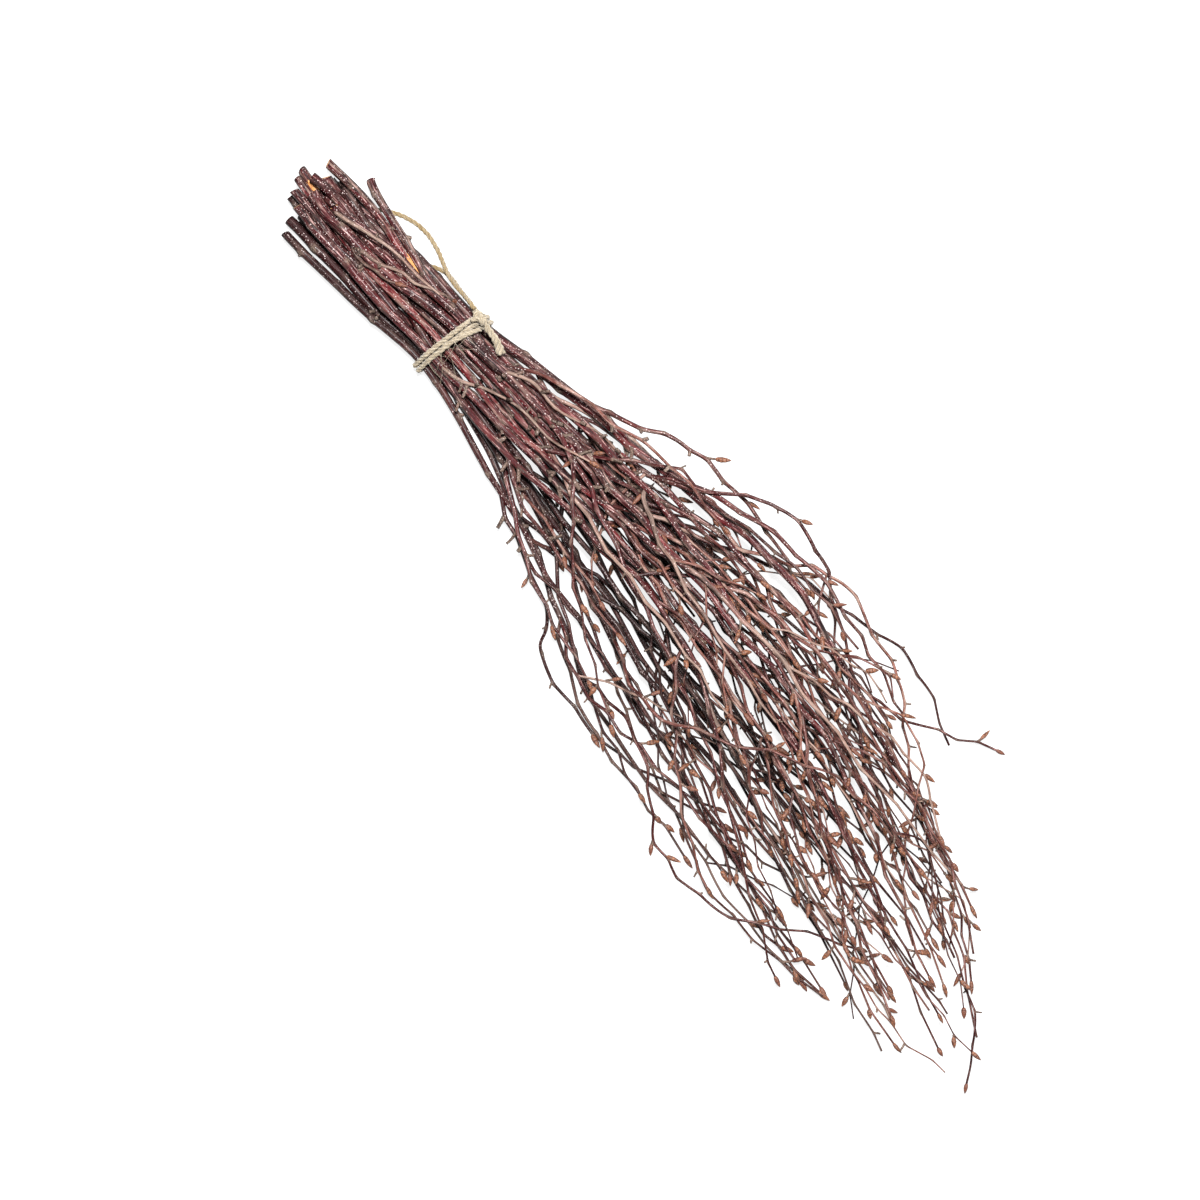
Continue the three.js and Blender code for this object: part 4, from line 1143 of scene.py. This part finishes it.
def add_line(piece, line, draw, cut=None):
    sides = 12 if line["thick"] else 8 if line["radii"][0] > 0.95 else 6
    relief, knobs = node_relief(line, sides, draw)
    above_floor(line["points"], line["radii"] + relief.max(1))
    look = np.zeros((len(line["s"]), sides, 4))
    look[..., 0] = knobs
    look[..., 1] = tint_with_painted_shade(line)
    look[..., 2] = np.clip(line["radii"] / RADIUS_UNIT, 0, 1)[:, None]
    look[..., 3] = bare_at(line["points"])[:, None]
    slant = None if cut is None else (0.9 * (draw() - 0.5), 0.9 * (draw() - 0.5))
    piece.tube(line["points"], line["radii"], sides, look, BARK, 300 * draw(), cut, relief, slant)


def bowed(foot, heading, length, t, aside, sway, most):
    """Points at the shares t of a line from foot, which bows square to aside."""
    heading = unit(np.asarray(heading, float))
    bow = unit(np.cross(heading, aside)) * sway * most * length
    return np.asarray(foot) + heading * (t * length)[:, None] + bow * (t**2)[:, None]


def look_rows(edge, tint, radius):
    """A tube's look, ring by ring, from how much edge each has."""
    look = np.zeros((len(edge), 4))
    look[:, 0] = edge
    look[:, 1] = tint
    look[:, 2] = radius / RADIUS_UNIT
    return look


def add_bud(piece, foot, heading, length, width, draw):
    """A pointed bud: a spindle whose scales lap over each other."""
    t = np.linspace(0, 1, BUD_RINGS)
    points = bowed(foot, heading, length, t, (0.3, 0.2, 1.0), draw() - 0.5, 0.2)
    body = width / 2 * np.sin(np.pi * np.clip(t * 0.9 + 0.1, 0, 1) ** 0.8) ** 0.75
    lap = (t * BUD_SCALES + 0.4 * draw()) % 1
    body = body * (1 + 0.13 * lap) + 0.06
    sides = 8
    angle = 2 * np.pi * np.arange(sides) / sides
    turn = t[:, None] * BUD_SCALES + angle / FULL_TURN * 2
    relief = body[:, None] * 0.10 * (turn % 1 - 0.5)
    look = look_rows(np.clip((lap - 0.72) / 0.28, 0, 1), draw(), width / 2)
    above_floor(points, body)
    piece.tube(points, body, sides, look, BUD, 50 * draw(), relief=relief)


def bud_size(draw, shortest=BUD_LENGTH[0], wider=BUD_WIDTH[1]):
    return shortest + BUD_LENGTH[1] * draw(), BUD_WIDTH[0] + wider * draw()


def add_spur(piece, foot, heading, length, radius, draw, bud=False):
    """A short knobbly shoot, ringed with old scars, with a bud or a broken end."""
    count = max(5, int(length / 0.55))
    t = np.linspace(0, 1, count)
    points = bowed(foot, heading, length, t, (draw() - 0.5, draw() - 0.5, 1.0), draw() - 0.5, 0.5)
    scars = 0.5 + 0.5 * np.sin(t * length * 4.2 + 6 * draw())
    radii = radius * (1 - 0.2 * t) * (0.86 + 0.26 * scars)
    look = look_rows(0.45 + 0.5 * scars, draw(), radius)
    above_floor(points, radii)
    piece.tube(points, radii, 8, look, BARK, 90 * draw())
    if bud:
        way = points[-1] - points[-2]
        add_bud(piece, points[-1] - unit(way) * 0.4, way, *bud_size(draw, 5), draw)


def grow_twigs(parents, draw, from_x, chance, lengths, radius_cap):
    """Twigs that start at the parents' nodes and lean forward."""
    found = []
    for parent in parents:
        points = parent["points"]
        for k, way in zip(parent["spot"], parent["side"]):
            p = points[k]
            low, high = at(LOWER_EDGE, p[0]), at(UPPER_EDGE, p[0])
            core = at(CORE, (p[1] - low) / (high - low))
            if not from_x < p[0] < TWIGS_END or draw() > at(chance, p[0]) * core:
                continue
            ahead = unit(points[min(k + 2, len(points) - 1)] - points[k - 1])
            lean = math.radians(18 + 34 * draw())
            heading = ahead * math.cos(lean) + way * math.sin(lean)
            length = lengths[0] + (lengths[1] - lengths[0]) * draw()
            length = min(length, 1.1 * (LENGTH + 6 - p[0]))
            radius = min(0.8 * parent["radii"][k], radius_cap * (0.75 + 0.4 * draw()))
            twig = twig_line(parent["branch"], p, heading, length, max(radius, 0.45), draw)
            if twig is not None:
                found.append(twig)
    return found


def top_of(x, y, radius, fine):
    """The height at which a twig of that radius rests on the lines below it."""
    height = radius
    for line in fine:
        p = line["points"]
        reach = line["radii"] + radius
        away = np.hypot(p[:, 0] - x, p[:, 1] - y)
        near = away < reach
        if near.any():
            height = max(height, (p[near, 2] + np.sqrt(reach[near] ** 2 - away[near] ** 2)).max())
    return height


def overlying_line(row, fine, draw):
    branch, radius, route = row
    line = smooth([(x, y, 0) for x, y in route], 5)
    for p in line:
        p[2] = top_of(p[0], p[1], radius, fine)
    line[0][2] -= 2.2 * radius
    line[1:-1, 2] = np.maximum(line[1:-1, 2], 0.5 * (line[:-2, 2] + line[2:, 2]))
    radii = radius * (1.1 - 0.45 * np.linspace(0, 1, len(line)))
    return {"branch": branch, "points": line, "radii": radii, "tint": 0.86 + 0.1 * draw()}


def add_knotty(piece, fine, draw):
    """Clusters of short gray spurs on the uppermost stems."""
    for (x, y), number in KNOTTY:
        for _ in range(number):
            px, py = x + 5 * (draw() - 0.5), y + 4 * (draw() - 0.5)
            foot = np.array([px, py, top_of(px, py, 0.1, fine) - 0.5])
            heading = (0.9 * (draw() - 0.3), 1.6 * (draw() - 0.5), 0.35 + 0.5 * draw())
            add_spur(piece, foot, heading, 1.5 + 2.2 * draw(), 0.9 + 0.6 * draw(), draw)


def decorate(piece, line, draw):
    """Buds, spurs and stubs at the line's nodes, and what its tip ends in."""
    points, radii = line["points"], line["radii"]
    last = len(points) - 1
    for k, way in zip(line["spot"], line["side"]):
        p, radius = points[k], radii[k]
        ahead = unit(points[min(k + 1, last)] - points[max(k - 1, 0)])
        luck = draw()
        if TIE_AT - BUDLESS[0] < p[0] < TIE_AT + BUDLESS[1] or k > last - 4:
            continue
        out = unit(way + 0.2 * (draw() - 0.5))
        foot = p + out * radius * 0.5
        if p[0] < TIE_AT:
            if luck < HANDLE_SPURS:
                add_spur(piece, foot, out + 0.7 * ahead, 1.6 + 2 * draw(), 0.9 + 0.5 * draw(), draw)
        elif p[0] < NECK_END:
            if luck < NECK_SPURS:
                heading = out + (0.3 + 0.8 * draw()) * ahead
                length, thickness = 2.5 + 6 * draw(), 0.85 + 0.5 * draw()
                add_spur(piece, foot, heading, length, thickness, draw, draw() < NECK_BUDS)
        else:
            buds = at(FAN_BUDS, p[0])
            heading = ahead + out * (0.22 + 0.45 * draw())
            if luck < 0.5 * buds:
                add_bud(piece, p + out * radius, heading, *bud_size(draw), draw)
            elif luck < buds:
                stalk = 1.5 + 5 * draw()
                add_spur(piece, foot, heading + out * 0.4, stalk, 0.6 + 0.25 * draw(), draw, True)
            elif luck > 1 - FAN_STUBS:
                add_spur(piece, foot, out + 0.5 * ahead, 1.2 + 3 * draw(), 0.5 + 0.2 * draw(), draw)
    if radii[-1] < 1.2 and draw() < TIP_BUDS:
        way = points[-1] - points[-3]
        add_bud(piece, points[-1] - unit(way) * 0.6, way, *bud_size(draw, wider=0.8), draw)


# ------------------------------------------------------------------ twine

PLY_STEP = 0.55  # between a strand's rings
LAY_LENGTH = 9.5  # of twine to one turn of its three plies
PLIES = 3
PLY_SIZE = 0.25  # a ply's radius, and how far it lies off the middle, as shares of the diameter
LOOSE = 1.12  # how much thicker the turns and the tail are than the CAD's twine
FIBRE_STEPS = 8
FIBRE_RADII = (0.085, 0.035)
LONG_FIBRES = 16
LONG_FIBRE_STEPS = 12
LONG_FIBRE_RADII = (0.1, 0.05)
FIBRE_RADIUS_LOOK = 0.02  # what a fibre's look says of its radius
WRAP_STEPS = 160  # a turn
THIRD_STRAND = 34  # of those steps that the strand between the turns is long
KNOT_SCALE = (1.15, 1.0, 1.15)
KNOT_ENDS = 0.25  # how much of the knot's course is left open at each end
# The strands that run into the knot and out of it, in the knot's own frame.
KNOT_STRANDS = [
    [(-5.4, -0.4, 0.2), (-3, 0.6, 1.0), (0, 1.4, 1.6), (2.5, 0.4, 0.9), (5.4, -0.3, -0.5)],
    [(-5.4, 0.2, -1.3), (-3, -1.6, -0.6), (-1, -3.6, -1.2), (0.5, -5.4, -2.6)],
    [(2.6, -5.2, -2.6), (2.6, -2.6, -0.6), (1.2, 0.6, 0.9), (-1.0, 3.6, -0.4), (-1.4, 4.8, -2.4)],
]


def add_twine(piece, points, draw, tint, diameter=TWINE_DIAMETER * LOOSE, flare=None):
    """Three plies twisted round each other along the points. Returns their middle line."""
    count = max(8, int(arc_lengths(points)[-1] / PLY_STEP))
    line = round_off(spaced(points, count), 3)
    s = arc_lengths(line)
    _, side, third = frames(line)
    turn = 2 * np.pi * s / LAY_LENGTH + 6 * draw()
    spread = np.ones(count + 1) if flare is None else flare(s / s[-1])
    for ply in range(PLIES):
        angle = turn + ply * 2 * np.pi / PLIES
        out = side * np.cos(angle)[:, None] + third * np.sin(angle)[:, None]
        reach = diameter * PLY_SIZE * spread
        wobble = diameter * 0.02 * np.sin(s * 1.3 + 9 * draw())
        uneven = 1 + 0.06 * np.sin(s * 0.9 + 6 * draw()) + 0.04 * np.sin(s * 2.3 + 6 * draw())
        radii = diameter * PLY_SIZE * uneven * np.sqrt(spread)
        look = look_rows(np.zeros(count + 1), tint, 0)
        piece.tube(line + out * (reach + wobble)[:, None], radii, 8, look, JUTE, 200 * draw())
    return line


def add_fibre(piece, points, radii, tint, draw):
    radii = np.linspace(*radii, len(points))
    piece.tube(points, radii, 4, (0, tint, FIBRE_RADIUS_LOOK, 0), JUTE, 50 * draw())


def add_fibres(piece, line, radius, number, draw, length, tint, along=(0, 1), reach=9):
    """Loose fibres that spring from the twine."""
    ahead, side, third = frames(line)
    last = len(line) - 1
    for _ in range(number):
        k = int((along[0] + (along[1] - along[0]) * draw()) * last)
        angle = FULL_TURN * draw()
        out = side[k] * math.cos(angle) + third[k] * math.sin(angle)
        way = ahead[k] * (1 if draw() < 0.5 else -1)
        size = length[0] + (length[1] - length[0]) * draw() ** 2
        stand = min(0.5 * draw(), reach / size)
        t = np.linspace(0, 1, FIBRE_STEPS)[:, None]
        curl = unit(np.cross(out, way)) * min(0.6, reach / size) * (2 * draw() - 1)
        steps = (t[:, 0] * size * 0.9 / PLY_STEP * np.sign(way @ ahead[k])).astype(int)
        follow = line[np.clip(k + steps, 0, last)]
        points = follow + out * radius * 0.7 + (out * (stand * t**1.5) + curl * t**2) * size
        points[:, 2] = np.maximum(points[:, 2], 0.12)
        add_fibre(piece, points, FIBRE_RADII, tint, draw)


def add_long_fibres(piece, line, draw):
    """A few long fibres that have come off the turns and lie over the stems beside them."""
    top = [p for p in line if p[2] > 0.8 * line[:, 2].max()]
    for _ in range(LONG_FIBRES):
        start = top[int(draw() * (len(top) - 1))]
        size = 9 + 12 * draw()
        heading = unit(np.array([0.4 + 0.6 * draw(), 1.6 * (draw() - 0.6), 0.10 * draw()]))
        aside = np.cross(heading, UP) * (draw() - 0.5) * 1.1
        t = np.linspace(0, 1, LONG_FIBRE_STEPS)[:, None]
        points = start + (0, 0, 1.2) + (heading * t + aside * t**2) * size
        points[:, 2] += 0.5 * np.sin(5 * t[:, 0] + 6 * draw())
        add_fibre(piece, points, LONG_FIBRE_RADII, 0.1, draw)


def knot_line():
    """The knot's own turns, in the knot's frame: an overhand knot's crossing, drawn tight."""
    t = np.linspace(KNOT_ENDS, 2 * np.pi - KNOT_ENDS, 60)
    x = (np.sin(t) + 2 * np.sin(2 * t)) * KNOT_SCALE[0]
    y = (np.cos(t) - 2 * np.cos(2 * t)) * KNOT_SCALE[1]
    z = -np.sin(3 * t) * KNOT_SCALE[2]
    return np.column_stack([x, y, z])


def from_knot(rows):
    axes = np.column_stack([(1, 0, 0), knot["run"], knot["out"]])
    return knot["middle"] + np.asarray(rows, float) @ axes.T


def third_strand():
    """A strand from the knot down between the two turns and under them."""
    ring = spaced(turn_ring(outline), WRAP_STEPS)[:THIRD_STRAND]
    step = np.arange(THIRD_STRAND)
    last = THIRD_STRAND - 1
    strand = np.column_stack([np.interp(step, [0, last], [TIE_AT + 3.6, TIE_AT - 0.6]), ring])
    proud = np.interp(step, [0, 20, last], [0.7, 0.2, -1.6])[:, None]
    strand[:, 1:] += unit(ring - ring.mean(0)) * proud
    return strand


def build_twine(material):
    draw = draws(77)
    wrap = Piece()
    line = add_twine(wrap, wrap_points(outline, WRAP_STEPS), draw, 0.3)
    add_fibres(wrap, line, 1.3, 60, draw, (4, 13), 0.1)
    add_fibres(wrap, line, 1.4, 170, draw, (1.5, 4), 0.3)
    add_long_fibres(wrap, line, draw)
    add_twine(wrap, third_strand(), draw, 0.15, 2.6)
    wrap.build("wrap", [material], "twine_wrap")

    lump = Piece()
    line = add_twine(lump, from_knot(knot_line()), draw, 0.25, 2.9)
    add_fibres(lump, line, 1.2, 80, draw, (1.5, 6), 0.3)
    for strand in KNOT_STRANDS:
        add_twine(lump, spline(from_knot(strand), np.linspace(0, 1, 40)), draw, 0.2, 2.8)
    lump.build("knot", [material], "twine_knot")

    end = Piece()
    route = spline(tail["points"], np.linspace(0, 1, 60))
    line = add_twine(end, route, draw, 0.0, flare=lambda share: 1.45 + np.clip(share - 0.3, 0, 1))
    add_fibres(end, line, 1.1, 70, draw, (2, 5), 0.0, along=(0.75, 0.99))
    add_fibres(end, line, 1.2, 14, draw, (2, 6), 0.1)
    end.build("tail", [material], "twine_tail")

    bow = Piece()
    line = add_twine(bow, loop["points"], draw, 0.9, TWINE_DIAMETER)
    add_fibres(bow, line, 1.2, 60, draw, (2, 7), 0.5, reach=1.2)
    thing = bow.build("loop", [material], "twine_loop")
    path = to_frame(line)
    length = arc_lengths(path)[-1]


# ------------------------------------------------------------------ the bundle

TWIGS_FROM = 190
TWIG_CHANCE = [(190, 0.10), (300, 0.11), (400, 0.06), (530, 0.01)]
TWIG_LENGTHS = (45, 150)
TWIG_RADIUS = 1.15
TWIG_ROUNDS = (30, 20)  # of settling, with and without springing back
TWIG_GAP = 0.25
COARSE = 5  # the twigs settle against every so many of the fine lines' points
SMALL_FROM = 260
SMALL_CHANCE = [(SMALL_FROM, 0.05)]
SMALL_LENGTHS = (20, 60)
SMALL_RADIUS = 0.6
KNOTTY_BRANCH = 6


def build_branches(materials):
    draw = draws(5)
    fine = [fine_line(line, draw) for line in lines]
    twigs = grow_twigs(fine, draw, TWIGS_FROM, TWIG_CHANCE, TWIG_LENGTHS, TWIG_RADIUS)
    coarse = []
    for line in fine:
        coarse.append({**line, "points": line["points"][::COARSE], "radii": line["radii"][::COARSE]})
    settle(twigs, coarse, *TWIG_ROUNDS, TWIG_GAP)
    twigs = [fine_twig(twig) for twig in twigs]
    small = grow_twigs(twigs, draw, SMALL_FROM, SMALL_CHANCE, SMALL_LENGTHS, SMALL_RADIUS)
    twigs += [fine_twig(twig) for twig in small]
    twigs += [fine_twig(overlying_line(row, fine, draw)) for row in OVERLYING]
    for number in range(len(BRANCHES)):
        piece = Piece()
        for i, line in enumerate(fine + twigs):
            if line["branch"] == number:
                add_line(piece, line, draw, WOOD if i < len(BRANCHES) else None)
                decorate(piece, line, draw)
        if number == KNOTTY_BRANCH:
            add_knotty(piece, fine, draw)
        piece.build(f"birch_{number + 1:02d}", materials, f"branch_{number + 1:02d}")


add_camera()
build_twine(jute_material())
build_branches([bark_material(), bud_material(), wood_material()])
add_stage()
